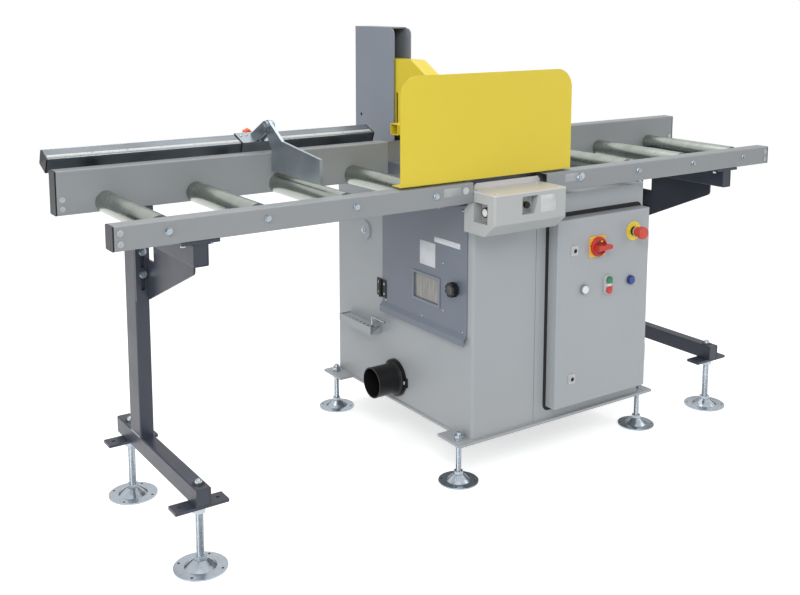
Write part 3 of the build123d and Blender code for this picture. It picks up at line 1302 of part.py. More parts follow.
# Black fittings: end caps of the rails and of the measuring rail, fixed halves of the door hinges
cap_thick = 4.0
cap_plug = 18.0
with BuildPart() as black_fittings:
    for side in (-1, 1):
        for face, low, height in ((face_y, front_rail_low, front_rail_height),
                                  (fence_y, back_rail_low, back_rail_height)):
            start = side * half_length
            with BuildSketch(Plane.YZ.offset(start)):
                with Locations((face + rail_depth / 2, low + height / 2)):
                    RectangleRounded(rail_depth, height, rail_round)
            extrude(amount=side * cap_thick)
            with BuildSketch(Plane.YZ.offset(start)):
                with Locations((face + rail_depth / 2, low + height / 2)):
                    Rectangle(rail_depth - 2 * rail_wall, height - 2 * rail_wall)
            extrude(amount=-side * cap_plug)
    for start, side in ((scale_left, -1), (scale_right, 1)):
        with BuildSketch(Plane.YZ.offset(start)):
            with Locations(scale_mid):
                Rectangle(scale_width, scale_height, rotation=scale_tilt)
        extrude(amount=side * cap_thick)
    for low, high in hinge_spans:
        third = (high - low) / 3
        block((cabinet_left - 3, cabinet_left), (door_hinge[1] + 2, door_hinge[1] + 28), (low, high))
        bar("Z", door_hinge, hinge_r + 1.5, (low - 1, low + third + 0.5), Mode.SUBTRACT)
        bar("Z", door_hinge, hinge_r + 1.5, (high - third - 0.5, high + 1), Mode.SUBTRACT)
        bar("Z", door_hinge, hinge_r, (low + third + 0.5, high - third - 0.5))
        bar("Z", door_hinge, 2.5 + running_gap, (low, high), Mode.SUBTRACT)
save(black_fittings, "black_fittings")

print(len(written), "pieces")
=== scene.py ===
from math import cos, pi, radians, sin

import bmesh
import bpy
from mathutils import Matrix, Vector


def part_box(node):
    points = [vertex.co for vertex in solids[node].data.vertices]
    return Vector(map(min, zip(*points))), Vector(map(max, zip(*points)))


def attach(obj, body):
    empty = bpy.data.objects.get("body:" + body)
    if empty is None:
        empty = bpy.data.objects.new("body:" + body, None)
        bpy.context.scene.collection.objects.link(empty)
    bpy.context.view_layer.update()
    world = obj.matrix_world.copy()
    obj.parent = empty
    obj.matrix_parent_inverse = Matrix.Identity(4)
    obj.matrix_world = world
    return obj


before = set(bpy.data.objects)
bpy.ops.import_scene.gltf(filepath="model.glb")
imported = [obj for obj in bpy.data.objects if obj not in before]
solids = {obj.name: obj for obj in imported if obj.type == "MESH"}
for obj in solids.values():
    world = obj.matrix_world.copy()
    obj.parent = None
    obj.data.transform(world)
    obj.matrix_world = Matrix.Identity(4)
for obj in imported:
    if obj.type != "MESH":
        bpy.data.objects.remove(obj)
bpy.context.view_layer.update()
scene = bpy.context.scene

# Camera of the studio shot: it stands in front and to the left, a little above the roller tables,
# with its lens shifted so that the uprights stay nearly upright.
camera_data = bpy.data.cameras.new("camera")
camera_data.sensor_width = 36.0
camera_data.lens = 47.35
camera_data.shift_x = -0.0078
camera_data.shift_y = -0.187
camera_data.clip_end = 200.0
camera = bpy.data.objects.new("camera", camera_data)
camera.location = (-1.966, -2.6918, 1.4442)
camera.rotation_euler = (radians(81.9), radians(-0.09), radians(-34.54))
scene.collection.objects.link(camera)
scene.camera = camera
scene.view_settings.view_transform = "Standard"


class Value:
    """A shader value of one material. Sums on it add Math nodes."""

    def __init__(self, tree, socket):
        self.tree = tree
        self.socket = socket

    def math(self, operation, *values):
        node = self.tree.nodes.new("ShaderNodeMath")
        node.operation = operation
        for slot, value in zip(node.inputs, values):
            if isinstance(value, Value):
                self.tree.links.new(value.socket, slot)
            else:
                slot.default_value = value
        return Value(self.tree, node.outputs[0])

    def __add__(self, other):
        return self.math("ADD", self, other)

    def __sub__(self, other):
        return self.math("SUBTRACT", self, other)

    def __mul__(self, other):
        return self.math("MULTIPLY", self, other)

    def __rsub__(self, other):
        return self.math("SUBTRACT", other, self)

    def __truediv__(self, other):
        return self.math("DIVIDE", self, other)

    __radd__ = __add__
    __rmul__ = __mul__

    def above(self, edge):
        return self.math("GREATER_THAN", self, edge)

    def clipped(self, low, high):
        return self.math("MINIMUM", self.math("MAXIMUM", self, low), high)

    def repeated(self, pitch):
        """How far this length lies past the last whole pitch."""
        whole = self / pitch
        return self - whole.math("FLOOR", whole) * pitch


class Finish:
    """A procedural finish: one Principled shader, with values that vary over the surface."""

    def __init__(self, name, **sockets):
        self.material = bpy.data.materials.new(name)
        self.material.use_nodes = True
        self.tree = self.material.node_tree
        self.shader = self.tree.nodes["Principled BSDF"]
        self.set(**sockets)
        self.place = self.node("ShaderNodeTexCoord")["Object"]

    def node(self, kind, settings=None, **values):
        """Adds a node: settings first, then its sockets. Gives its outputs by name."""
        made = self.tree.nodes.new(kind)
        for key, value in (settings or {}).items():
            setattr(made, key, value)
        for key, value in values.items():
            slot = made.inputs[int(key[1:])] if key[0] == "_" else made.inputs[key.replace("_", " ")]
            if isinstance(value, Value):
                self.tree.links.new(value.socket, slot)
            else:
                slot.default_value = value
        return {out.name: Value(self.tree, out) for out in made.outputs if out.enabled}

    def set(self, **sockets):
        for key, value in sockets.items():
            slot = self.shader.inputs[key.replace("_", " ")]
            if isinstance(value, Value):
                self.tree.links.new(value.socket, slot)
            else:
                slot.default_value = value
        return self

    def scaled(self, x, y, z):
        """Object coordinates in metres, stretched along each axis."""
        return self.node("ShaderNodeMapping", Vector=self.place, Scale=(x, y, z))["Vector"]

    def noise(self, scale, detail=3.0, place=None, rough=0.5):
        made = self.node("ShaderNodeTexNoise", Vector=place or self.place, Scale=scale, Detail=detail,
                         Roughness=rough)
        return made["Fac"]

    def axis(self, name):
        return self.node("ShaderNodeSeparateXYZ", Vector=self.place)[name]

    def mix(self, factor, first, second):
        """A colour between two colours; each may be a value or a plain colour."""
        full = [(*colour, 1.0) if isinstance(colour, tuple) else colour for colour in (first, second)]
        return self.node("ShaderNodeMix", {"data_type": "RGBA"}, _0=factor, _6=full[0], _7=full[1])["Result"]

    def bump(self, height, distance, strength=1.0):
        normal = self.node("ShaderNodeBump", Height=height, Distance=distance, Strength=strength)["Normal"]
        return self.set(Normal=normal)


def paint(name, colour, shade=0.92, rough=0.42, grain=0.00006, dust=0.0):
    """Powder coat: fine orange peel, slight drift of tone, and a little dust low down if asked."""
    finish = Finish(name)
    drift = finish.noise(2.2, 4.0)
    darker = tuple(channel * shade for channel in colour)
    tone = finish.mix(drift.clipped(0.3, 0.7) * 2.5 - 0.75, darker, colour)
    if dust:
        low = (0.45 - finish.axis("Z")).clipped(0.0, 0.35) * 2.2
        tone = finish.mix(low * finish.noise(9.0, 6.0) * dust, tone, (0.46, 0.42, 0.36))
    smear = finish.noise(14.0, 5.0)
    finish.set(Base_Color=tone, Roughness=smear * 0.16 + (rough - 0.08))
    return finish.bump(finish.noise(520.0, 2.0), grain)


def dress(finish, *names):
    """Gives a finish to solids of the frame."""
    for name in names:
        mesh = solids[name].data
        mesh.materials.clear()
        mesh.materials.append(finish.material)


def dress_part(finish, name, chosen):
    """Gives a finish to those faces of a solid whose middle passes a test."""
    mesh = solids[name].data
    mesh.materials.append(finish.material)
    for face in mesh.polygons:
        if chosen(face.center):
            face.material_index = len(mesh.materials) - 1


# Cabinet and what is folded from the same light grey sheet: shell, base plate, tool tray and the
# back of the switch box. Steel sheet, welded, powder coated.
cabinet_paint = paint("cabinet powder coat", (0.365, 0.392, 0.415), 0.95, dust=0.25)
dress(cabinet_paint, "cabinet_shell", "base_plate", "tool_holder", "enclosure_box")


def zinc(name, colour, tint, rough=0.34, scale=30.0, lines=(300.0, 300.0, 300.0)):
    """Bright zinc plating: cloudy tint and roughness; lines stretches fine turning marks."""
    finish = Finish(name, Metallic=1.0)
    cloud = finish.noise(scale, 5.0, rough=0.6)
    tone = finish.mix(cloud.clipped(0.35, 0.65) * 3.3 - 1.15, tint, colour)
    finish.set(Base_Color=tone, Roughness=cloud * 0.2 + (rough - 0.1))
    return finish.bump(finish.noise(1.0, 2.0, finish.scaled(*lines)), 0.00005)


def turned(shape, place, axis, outline, steps=32, rise=0.0, turns=1.0):
    """Spins an outline of (radius, height) points round an axis through place; rise makes a helix."""
    standing = set(shape.verts)
    corners = [shape.verts.new((radius, 0.0, height)) for radius, height in outline]
    edges = [shape.edges.new(pair) for pair in zip(corners, corners[1:])]
    bmesh.ops.spin(shape, geom=corners + edges, cent=(0, 0, 0), axis=(0, 0, 1), dvec=(0, 0, rise / steps),
                   angle=2 * pi * turns, steps=int(steps * turns), use_merge=not rise)
    made = [vert for vert in shape.verts if vert not in standing]
    stand = Matrix.Translation(place) @ Vector(axis).to_track_quat("Z", "Y").to_matrix().to_4x4()
    bmesh.ops.transform(shape, matrix=stand, verts=made)
    bmesh.ops.remove_doubles(shape, verts=made, dist=0.00001)


def slab(shape, low, high, edge=0.0, segments=2, turn=None):
    """A block between two corners, its edges rounded; turn is a rotation about its middle."""
    middle = [(a + b) / 2 for a, b in zip(low, high)]
    size = [b - a for a, b in zip(low, high)]
    stand = Matrix.Translation(middle) @ (turn or Matrix.Identity(4)) @ Matrix.Diagonal((*size, 1.0))
    made = bmesh.ops.create_cube(shape, size=1.0, matrix=stand)["verts"]
    if edge:
        around = list({link for vert in made for link in vert.link_edges})
        bmesh.ops.bevel(shape, geom=around, offset=edge, segments=segments, affect="EDGES", profile=0.5,
                        material=-1)


def screw(shape, place, axis, radius, height):
    """A button head with a round-bottomed drive recess."""
    turned(shape, place, axis, [(0.0, height * 0.35), (radius * 0.36, height * 0.4), (radius * 0.46, height),
                                (radius * 0.72, height * 0.94), (radius * 0.93, height * 0.62),
                                (radius, height * 0.2), (radius, -0.0005)], 20)


def hex_head(shape, place, axis, across, height):
    """A hexagon head or nut with turned-down corners."""
    stand = Matrix.Translation(Vector(place) + Vector(axis) * height / 2)
    stand = stand @ Vector(axis).to_track_quat("Z", "Y").to_matrix().to_4x4()
    made = bmesh.ops.create_cone(shape, cap_ends=True, segments=6, radius1=across / 3 ** 0.5,
                                 radius2=across / 3 ** 0.5, depth=height, matrix=stand)["verts"]
    rim = [link for link in {link for vert in made for link in vert.link_edges}
           if all((vert.co - Vector(place)).dot(Vector(axis)) > height * 0.6 for vert in link.verts)]
    bmesh.ops.bevel(shape, geom=rim, offset=height * 0.14, segments=2, affect="EDGES", profile=0.5, material=-1)


def piece(name, shape, finish, body, sharp=38):
    """Makes an object of a finished shape, riding on a body, with the given finish."""
    bmesh.ops.recalc_face_normals(shape, faces=shape.faces)
    mesh = bpy.data.meshes.new(name)
    shape.to_mesh(mesh)
    shape.free()
    mesh.shade_smooth()
    mesh.set_sharp_from_angle(angle=radians(sharp))
    mesh.materials.append(finish.material)
    made = bpy.data.objects.new(name, mesh)
    scene.collection.objects.link(made)
    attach(made, body)
    return made


# Levelling feet: pressed steel discs with a nut and a threaded stud, zinc plated. The thread is a
# rolled V that stands on the stud, between the foot and the lock nut.
bright_zinc = zinc("bright zinc", (0.47, 0.52, 0.57), (0.40, 0.45, 0.50), 0.24, 60.0)
dress(bright_zinc, "cabinet_feet", "leg_fittings_left", "leg_fittings_right", "axles_and_bolts")


def thread(shape, x, y, low, high, radius, pitch, depth=0.0005):
    """A rolled thread on an upright stud."""
    outline = [(radius + 0.00002, 0.0), (radius + depth, pitch / 2), (radius + 0.00002, pitch)]
    turned(shape, (x, y, low), (0, 0, 1), outline, 20, pitch, (high - low) / pitch - 1)


face_y = -0.377
foot_low, foot_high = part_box("cabinet_feet")
cabinet_foot_r = 0.061
shape = bmesh.new()
for x in (foot_low.x + cabinet_foot_r, foot_high.x - cabinet_foot_r):
    for y in (foot_low.y + cabinet_foot_r, foot_high.y - cabinet_foot_r):
        thread(shape, x, y, 0.035, 0.1095, 0.008, 0.0022)
        thread(shape, x, y, 0.1462, 0.1535, 0.008, 0.0022)
piece("cabinet_stud_threads", shape, bright_zinc, "machine")
leg_foot_r = 0.070
for side, body in (("left", "left_leg"), ("right", "right_leg")):
    node = "leg_fittings_" + side
    low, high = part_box(node)
    shape = bmesh.new()
    for y in (face_y + 0.057, face_y + 0.544):
        thread(shape, (low.x + high.x) / 2, y, 0.035, 0.1515, 0.010, 0.0026)
        turned(shape, ((low.x + high.x) / 2, y, 0.2335), (0, 0, 1),
               [(0.0, 0.0062), (0.006, 0.0052), (0.0092, 0.0022), (0.0098, -0.003)], 24)
    piece("leg_studs_" + side, shape, bright_zinc, body)

# Painted shade in the holes of the levelling feet's rims: a flat near-black disc sits low in each hole.
painted_shade_black = Finish("painted shade black", Roughness=0.8)
# Noise only mottles the tone of this painted shade.
dust = painted_shade_black.noise(80.0, 4.0)
painted_shade_black.set(Base_Color=painted_shade_black.mix(dust, (0.006, 0.006, 0.007), (0.022, 0.021, 0.020)))
rim_hole_r = 0.0034
for node, body, foot_r in (("cabinet_feet", "machine", cabinet_foot_r), ("leg_fittings_left", "left_leg", leg_foot_r),
                           ("leg_fittings_right", "right_leg", leg_foot_r)):
    low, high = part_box(node)
    shape = bmesh.new()
    for x in {round(low.x + foot_r, 5), round(high.x - foot_r, 5)}:
        for y in (low.y + foot_r, high.y - foot_r):
            for n in range(4):
                turn = pi / 4 + n * pi / 2
                reach = foot_r - 0.010
                turned(shape, (x + reach * cos(turn), y + reach * sin(turn), 0.0), (0, 0, 1),
                       [(0.0, 0.0012), (rim_hole_r, 0.0012), (rim_hole_r, 0.0002), (0.0, 0.0002)], 16)
    piece(node + "_hole_shades", shape, painted_shade_black, body)

# Roller tables: rails of rectangular tube, powder coated light grey with a greener cast. A blind
# rivet holds each end cap twice, and its head is dull.
rail_paint = paint("rail powder coat", (0.268, 0.286, 0.298), 0.94)
dress(rail_paint, "front_rails", "back_rails")
dull_zinc = zinc("rivet zinc", (0.50, 0.52, 0.54), (0.40, 0.42, 0.44), 0.5, 90.0)
rail_end = abs(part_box("front_rails")[0].x)
dress_part(dull_zinc, "axles_and_bolts", lambda middle: abs(middle.x) > rail_end - 0.025)

# Rollers: plated steel tube turned on its ends, with scuffs that run round it. A black seal
# closes each bearing.
roller_zinc = zinc("roller zinc", (0.36, 0.385, 0.335), (0.24, 0.26, 0.225), 0.36, 5.0, (60.0, 900.0, 60.0))
bands = roller_zinc.noise(1.0, 4.0, roller_zinc.scaled(4.0, 26.0, 4.0))
cloud = roller_zinc.noise(7.0, 5.0, rough=0.6)
stain = (bands * 0.5 + cloud * 0.7).clipped(0.42, 0.78) * 2.7 - 1.1
roller_zinc.set(Base_Color=roller_zinc.mix(stain, (0.30, 0.33, 0.295), (0.39, 0.42, 0.38)),
                Roughness=bands * 0.12 + 0.20)
dress(roller_zinc, *("roller_%d" % n for n in range(1, 9)))


def plastic(name, colour, rough=0.5, grain=0.00005, coat=0.0):
    """Moulded plastic: fine grain and faint drift of tone."""
    finish = Finish(name, Coat_Weight=coat)
    drift = finish.noise(40.0, 3.0)
    paler = tuple(min(1.0, channel * 1.12 + 0.004) for channel in colour)
    finish.set(Base_Color=finish.mix(drift, colour, paler), Roughness=drift * 0.15 + (rough - 0.07))
    return finish.bump(finish.noise(900.0, 2.0), grain)


black_plastic = plastic("black plastic", (0.008, 0.008, 0.009), 0.34).set(Specular_IOR_Level=0.25)
for number in range(1, 9):
    node = "roller_%d" % number
    low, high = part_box(node)
    shape = bmesh.new()
    for y, way in ((low.y + 0.003, -1), (high.y - 0.003, 1)):
        turned(shape, ((low.x + high.x) / 2, y, 0.9), (0, way, 0),
               [(0.0113, -0.0004), (0.0113, 0.0008), (0.0135, 0.0014), (0.0235, 0.0014), (0.0255, 0.0006),
                (0.0255, -0.0004)], 32)
    piece("roller_seals_%d" % number, shape, black_plastic, "roller_body_%d" % number)

# End caps, fixed hinge leaves and other black mouldings, glass-filled and slightly glossy. The
# caps of the rails are plugs with a flat end.
dress(black_plastic, "black_fittings", "dust_port", "door_knob", "palm_button_left", "palm_button_right")
cap_grey = plastic("cap plastic", (0.060, 0.062, 0.068), 0.55)
cap_end = abs(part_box("black_fittings")[0].x)
dress_part(cap_grey, "black_fittings", lambda middle: abs(middle.x) > cap_end - 0.0002 and middle.z < 0.999)

# Legs and their brackets: rectangular tube and plate, welded, with an anthracite coat.
leg_paint = paint("anthracite powder coat", (0.036, 0.043, 0.062), 0.88, rough=0.36, grain=0.00009)
dress(leg_paint, "leg_brackets", "leg_left", "leg_right")


def weld(shape, start, end, width=0.005):
    """A weld bead between two points, with its scales."""
    run = Vector(end) - Vector(start)
    count = max(3, int(run.length / (width * 0.55)))
    for n in range(count + 1):
        place = Vector(start) + run * (n / count)
        made = bmesh.ops.create_icosphere(shape, subdivisions=1, radius=width / 2)["verts"]
        bmesh.ops.transform(shape, matrix=Matrix.Translation(place), verts=made)


for side, body in (("left", "left_leg"), ("right", "right_leg")):
    low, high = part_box("leg_" + side)
    middle = (low.x + high.x) / 2
    shape = bmesh.new()
    for y in (face_y + 0.4085, face_y + 0.4895):
        weld(shape, (middle - 0.016, y, 0.2265), (middle + 0.016, y, 0.2265))
    for x in (middle - 0.0175, middle + 0.0175):
        for y in (face_y + 0.057, face_y + 0.544):
            weld(shape, (x, y - 0.024, 0.1765), (x, y + 0.024, 0.1765), 0.004)
    piece("leg_welds_" + side, shape, leg_paint, body)
    shape = bmesh.new()
    for x in (middle - 0.0193, middle + 0.0193):
        weld(shape, (x, face_y + 0.416, 0.2260), (x, face_y + 0.482, 0.2260), 0.0036)
    piece("leg_seams_" + side, shape, bright_zinc, body)
    shape = bmesh.new()
    for y in (face_y + 0.057, face_y + 0.544):
        turned(shape, (middle, y, 0.226), (0, 0, 1),
               [(0.0100, 0.0006), (0.0172, 0.0006), (0.0176, -0.0002)], 32)
    piece("stud_seals_" + side, shape, black_plastic, body)

# Saw table and its short fences: ground steel with fine grinding lines front to back.
ground_steel = zinc("ground steel", (0.38, 0.40, 0.47), (0.30, 0.32, 0.39), 0.38, 5.0, (900.0, 12.0, 900.0))
dress(ground_steel, "saw_table")
table_top = 0.930
shape = bmesh.new()
for side in (-1, 1):
    for y in (face_y + 0.075, face_y + 0.300, face_y + 0.525):
        turned(shape, (side * 0.112, y, table_top), (0, 0, 1),
               [(0.0, -0.0001), (0.0028, 0.0), (0.0030, 0.0004), (0.0062, 0.0004), (0.0066, -0.0002)], 24)
piece("table_screws", shape, bright_zinc, "machine")

# Blade and arbor: ground and turned steel. The blade shows rings from grinding, and its teeth
# carry brazed tips of a darker metal.
blade_steel = Finish("blade steel", Metallic=1.0)
across = blade_steel.node("ShaderNodeMapping", Vector=blade_steel.place, Location=(0.0, 0.077, -0.740))["Vector"]
reach = blade_steel.node("ShaderNodeVectorMath", {"operation": "LENGTH"}, _0=across)["Value"]
rings = blade_steel.noise(30.0, 2.0) * 0.2 + reach.math("SINE", reach * 9000.0) * 0.3
blade_steel.set(Base_Color=blade_steel.mix(reach.above(0.1665), (0.52, 0.53, 0.54), (0.25, 0.24, 0.23)),
                Roughness=blade_steel.noise(30.0) * 0.2 + 0.2)
blade_steel.bump(rings, 0.00004)
dress(blade_steel, "saw_blade")
turned_steel = zinc("turned steel", (0.50, 0.51, 0.52), (0.40, 0.41, 0.42), 0.3, 30.0, (900.0, 40.0, 40.0))
dress(turned_steel, "arbor", "stroke_rod")

# Saw arm and motor: grey and blue-grey machine paint over castings and plate. The motor carries a
# blank rating plate and the screws of its terminal box.
arm_paint = paint("arm paint", (0.17, 0.18, 0.19), 0.9, rough=0.5, grain=0.0001)
dress(arm_paint, "swing_arm")
motor_paint = paint("motor paint", (0.075, 0.095, 0.125), 0.9, rough=0.45, grain=0.0001)
dress(motor_paint, "motor")
motor_low, motor_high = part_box("motor")
shape = bmesh.new()
box_face = motor_low.y
for x in (0.178, 0.252):
    for z in (0.442, 0.518):
        screw(shape, (x, box_face, z), (0, -1, 0), 0.0045, 0.003)
slab(shape, (0.190, box_face - 0.0008, 0.462), (0.240, box_face, 0.498), 0.0003, 1)
piece("motor_plate_and_screws", shape, bright_zinc, "saw_arm")
belt_rubber = plastic("belt rubber", (0.012, 0.012, 0.012), 0.7)
dress(belt_rubber, "drive_belt")

# Lifting cylinders, guide rods, guide block and motor pulley: drawn and milled aluminium.
milled_aluminium = zinc("milled aluminium", (0.50, 0.51, 0.52), (0.42, 0.43, 0.44), 0.38)
dress(milled_aluminium, "lift_unit", "guide_block", "stroke_cylinder", "motor_pulley")

# Dust chute and dust port: folded sheet, and a moulded black spigot with two ears on the wall. A
# pan head screw holds each ear.
chute_paint = paint("chute paint", (0.17, 0.18, 0.19), 0.9, rough=0.5)
dress(chute_paint, "dust_chute")
port_low, port_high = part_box("dust_port")
shape = bmesh.new()
for y in (face_y + 0.450 - 0.059, face_y + 0.450 + 0.059):
    screw(shape, (port_high.x - 0.008, y, 0.205), (-1, 0, 0), 0.006, 0.0035)
piece("port_screws", shape, bright_zinc, "machine")
shape = bmesh.new()
turned(shape, (port_high.x - 0.008, face_y + 0.450, 0.205), (-1, 0, 0),
       [(0.0501, 0.0), (0.0575, 0.0), (0.0575, 0.004), (0.0560, 0.0055), (0.0515, 0.0075), (0.0501, 0.012)], 64)
turned(shape, (port_low.x, face_y + 0.450, 0.205), (1, 0, 0),
       [(0.0501, 0.0005), (0.0506, 0.0005), (0.0510, 0.0014), (0.0506, 0.0026), (0.0501, 0.0026)], 64)
piece("port_rims", shape, black_plastic, "machine")

# Guard column: folded sheet with a darker grey coat, open to the front, with a screwed top.
column_paint = paint("column powder coat", (0.240, 0.268, 0.315), 0.93)
dress(column_paint, "guard_column")
column_low, column_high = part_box("guard_column")
shape = bmesh.new()
for x in (-0.024, 0.020):
    for y in (column_high.y - 0.024, column_high.y - 0.180):
        screw(shape, (x, y, column_high.z - 0.0045), (0, 0, 1), 0.006, 0.0042)
for x in (-0.049, 0.045):
    for y in (column_high.y - 0.030, column_high.y - 0.190):
        hex_head(shape, (x, y, 0.851), (0, 0, 1), 0.013, 0.007)
piece("column_screws", shape, bright_zinc, "machine")

# Guard panel and hood: bent sheet, signal yellow coat, held together by countersunk screws.
guard_paint = paint("yellow powder coat", (0.72, 0.57, 0.040), 0.96, rough=0.34)
dress(guard_paint, "guard_panel", "blade_hood")
panel_low, panel_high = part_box("guard_panel")
hood_low, hood_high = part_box("blade_hood")
shape = bmesh.new()
for x in (-0.110, 0.106):
    hex_head(shape, (x, face_y + 0.385 + 0.020, hood_low.z + 0.035), (0, 0, 1), 0.010, 0.005)
piece("beam_bolts", shape, bright_zinc, "guard")

# Console between the front rails: warm light grey housing, under a cream cover with four screws.
console_paint = paint("console powder coat", (0.435, 0.450, 0.455), 0.95)
dress(console_paint, "console_housing")
cover_paint = paint("console cover coat", (0.61, 0.60, 0.60), 0.95)
dress(cover_paint, "console_cover")
console_low, console_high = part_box("console_housing")
cover_z = 0.901
shape = bmesh.new()
for x in (console_low.x + 0.022, console_high.x - 0.022):
    for y in (console_low.y + 0.018, face_y + 0.012):
        screw(shape, (x, y, cover_z), (0, 0, 1), 0.0045, 0.0022)
piece("cover_screws", shape, bright_zinc, "machine")


def label(name, low, high, finish, body, edge=0.0004):
    """A plain printed-film label, stuck on flat."""
    shape = bmesh.new()
    slab(shape, low, high, edge, 1)
    return piece(name, shape, finish, body, 60)


white_film = plastic("white film", (0.50, 0.52, 0.53), 0.35, 0.00001, 0.2)
label("console_label", (0.030, console_low.y - 0.0008, 0.837), (0.089, console_low.y, 0.887), white_film,
      "machine", 0.0003)
silver_film = plastic("silver film", (0.335, 0.355, 0.370), 0.4, 0.00001)
for name, start, end, low, high in (("left", -0.244, -0.184, 0.893, 0.918), ("right", 0.212, 0.268, 0.893, 0.918)):
    label("rail_label_" + name, (start, face_y - 0.0006, low), (end, face_y, high), silver_film, "machine",
          0.0002)
shape = bmesh.new()
for x in (-0.166, 0.284):
    turned(shape, (x, face_y, 0.905), (0, -1, 0), [(0.0, 0.0006), (0.0100, 0.0006), (0.0104, -0.0002)], 32)
piece("rail_dots", shape, white_film, "machine")

# Palm buttons in the ends of the console: a black ring round a white cap, a little domed.
white_plastic = plastic("white plastic", (0.70, 0.71, 0.71), 0.35, 0.00002, 0.2)
for side, way in (("left", -1), ("right", 1)):
    low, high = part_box("palm_button_" + side)
    face = low.x if way < 0 else high.x
    shape = bmesh.new()
    turned(shape, (face, (low.y + high.y) / 2, (low.z + high.z) / 2), (way, 0, 0),
           [(0.0, 0.0018), (0.006, 0.0016), (0.0105, 0.0008), (0.0118, -0.0004)], 32)
    piece("palm_cap_" + side, shape, white_plastic, side + "_palm")

# Pressure regulator in the recess of the console: a small brass spindle with a black grip.
brass = zinc("brass", (0.62, 0.43, 0.17), (0.50, 0.33, 0.12), 0.3, 90.0)
dress(brass, "regulator_knob")
low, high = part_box("regulator_knob")
shape = bmesh.new()
ribs = [(0.0, -0.0002), (0.0094, -0.0002), (0.0102, 0.0010), (0.0102, 0.0068), (0.0094, 0.0078), (0.0091, 0.0078)]
turned(shape, ((low.x + high.x) / 2, low.y, (low.z + high.z) / 2), (0, 1, 0), ribs, 24)
piece("regulator_grip", shape, black_plastic, "regulator")

# Measuring rail: drawn aluminium section, natural anodised, with drawing lines along it. A steel
# tape lies in its groove, divided in millimetres, with a longer line at each ten.
drawn_aluminium = zinc("drawn aluminium", (0.22, 0.245, 0.265), (0.16, 0.18, 0.195), 0.34, 4.0,
                       (6.0, 700.0, 700.0))
dress(drawn_aluminium, "measuring_rail")
rail_low, rail_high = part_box("measuring_rail")
scale_tilt = radians(22)
scale_edge = (face_y + 0.508, 1.017)


def scale_point(along, up):
    """A point across the tilted section: along its top from the front edge, and up from it."""
    return (scale_edge[0] + along * cos(scale_tilt) - up * sin(scale_tilt),
            scale_edge[1] + along * sin(scale_tilt) + up * cos(scale_tilt))


tape_steel = Finish("tape steel", Metallic=0.35, Roughness=0.4)
length = tape_steel.axis("X") + 5.0
depth = tape_steel.axis("Y") - (scale_point(0.016, 0.0)[0] - 0.006)
millimetre = (0.00022 - length.repeated(0.001)).above(0.0) * (0.0042 - depth).above(0.0)
five = (0.0003 - length.repeated(0.005)).above(0.0) * (0.0060 - depth).above(0.0)
ten = (0.0005 - length.repeated(0.010)).above(0.0) * (0.0085 - depth).above(0.0)
line = millimetre.math("MAXIMUM", millimetre.math("MAXIMUM", millimetre, five), ten)
wear = tape_steel.noise(60.0, 4.0)
tape_steel.set(Base_Color=tape_steel.mix(line, tape_steel.mix(wear, (0.46, 0.47, 0.46), (0.56, 0.57, 0.56)),
                                         (0.02, 0.02, 0.02)), Roughness=wear * 0.2 + 0.3)
shape = bmesh.new()
tape_y, tape_z = scale_point(0.016, -0.0002)
slab(shape, (rail_low.x + 0.002, tape_y - 0.0066, tape_z - 0.00025), (rail_high.x - 0.002, tape_y + 0.0066,
     tape_z + 0.00025), 0.0, 1, Matrix.Rotation(scale_tilt, 4, "X"))
piece("scale_tape", shape, tape_steel, "machine")
# Painted highlights: thin bright zinc strips along the front and back edges of the rail's top.
shape = bmesh.new()
for along in (0.0012, 0.0530):
    y, z = scale_point(along, 0.0001)
    slab(shape, (rail_low.x + 0.003, y - 0.0007, z - 0.0003), (rail_high.x - 0.003, y + 0.0007, z + 0.0003), 0.0002, 1,
         Matrix.Rotation(scale_tilt, 4, "X"))
piece("scale_edge_highlights", shape, bright_zinc, "machine")

# Figures of the tape, printed in black at each hundred millimetres.
ink = plastic("black ink", (0.015, 0.015, 0.015), 0.5)
shape = bmesh.new()
for n in range(1, 10):
    text = bpy.data.curves.new("figure", "FONT")
    text.body = str(n * 10)
    text.size = 0.0062
    text.extrude = 0.00006
    text.align_x = "CENTER"
    text.resolution_u = 2
    figure = bpy.data.objects.new("figure", text)
    scene.collection.objects.link(figure)
    bpy.context.view_layer.update()
    flat = bpy.data.meshes.new_from_object(figure)
    standing = set(shape.verts)
    shape.from_mesh(flat)
    y, z = scale_point(0.0165, 0.00012)
    stand = Matrix.Translation((rail_high.x - n * 0.1 - 0.006, y, z)) @ Matrix.Rotation(scale_tilt, 4, "X")
    bmesh.ops.transform(shape, matrix=stand, verts=[vert for vert in shape.verts if vert not in standing])
    bpy.data.objects.remove(figure)
    bpy.data.meshes.remove(flat)
piece("scale_figures", shape, ink, "machine")

# Length stop: a plated sheet sleeve on the rail, with a black wiper on its left end, two screws,
# and a thick steel plate that hinges down on the fence side.
stop_zinc = zinc("stop zinc", (0.30, 0.335, 0.355), (0.22, 0.25, 0.27), 0.40, 9.0)
dress(stop_zinc, "stop_carriage")
plate_zinc = zinc("stop plate zinc", (0.40, 0.45, 0.48), (0.31, 0.355, 0.385), 0.42, 7.0, (60.0, 60.0, 600.0))
dress(plate_zinc, "stop_plate")
carriage_low, carriage_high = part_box("stop_carriage")
sleeve_top = 0.0033
shape = bmesh.new()
for x in (carriage_low.x + 0.012, carriage_low.x + 0.030):
    y, z = scale_point(0.040, sleeve_top)
    screw(shape, (x, y, z), (0, -sin(scale_tilt), cos(scale_tilt)), 0.0042, 0.0030)
y, z = scale_point(0.012, sleeve_top)
screw(shape, (carriage_high.x - 0.016, y, z), (0, -sin(scale_tilt), cos(scale_tilt)), 0.0042, 0.0030)
piece("sleeve_screws", shape, bright_zinc, "length_stop")
shape = bmesh.new()
y, z = scale_point(0.0275, 0.0018)
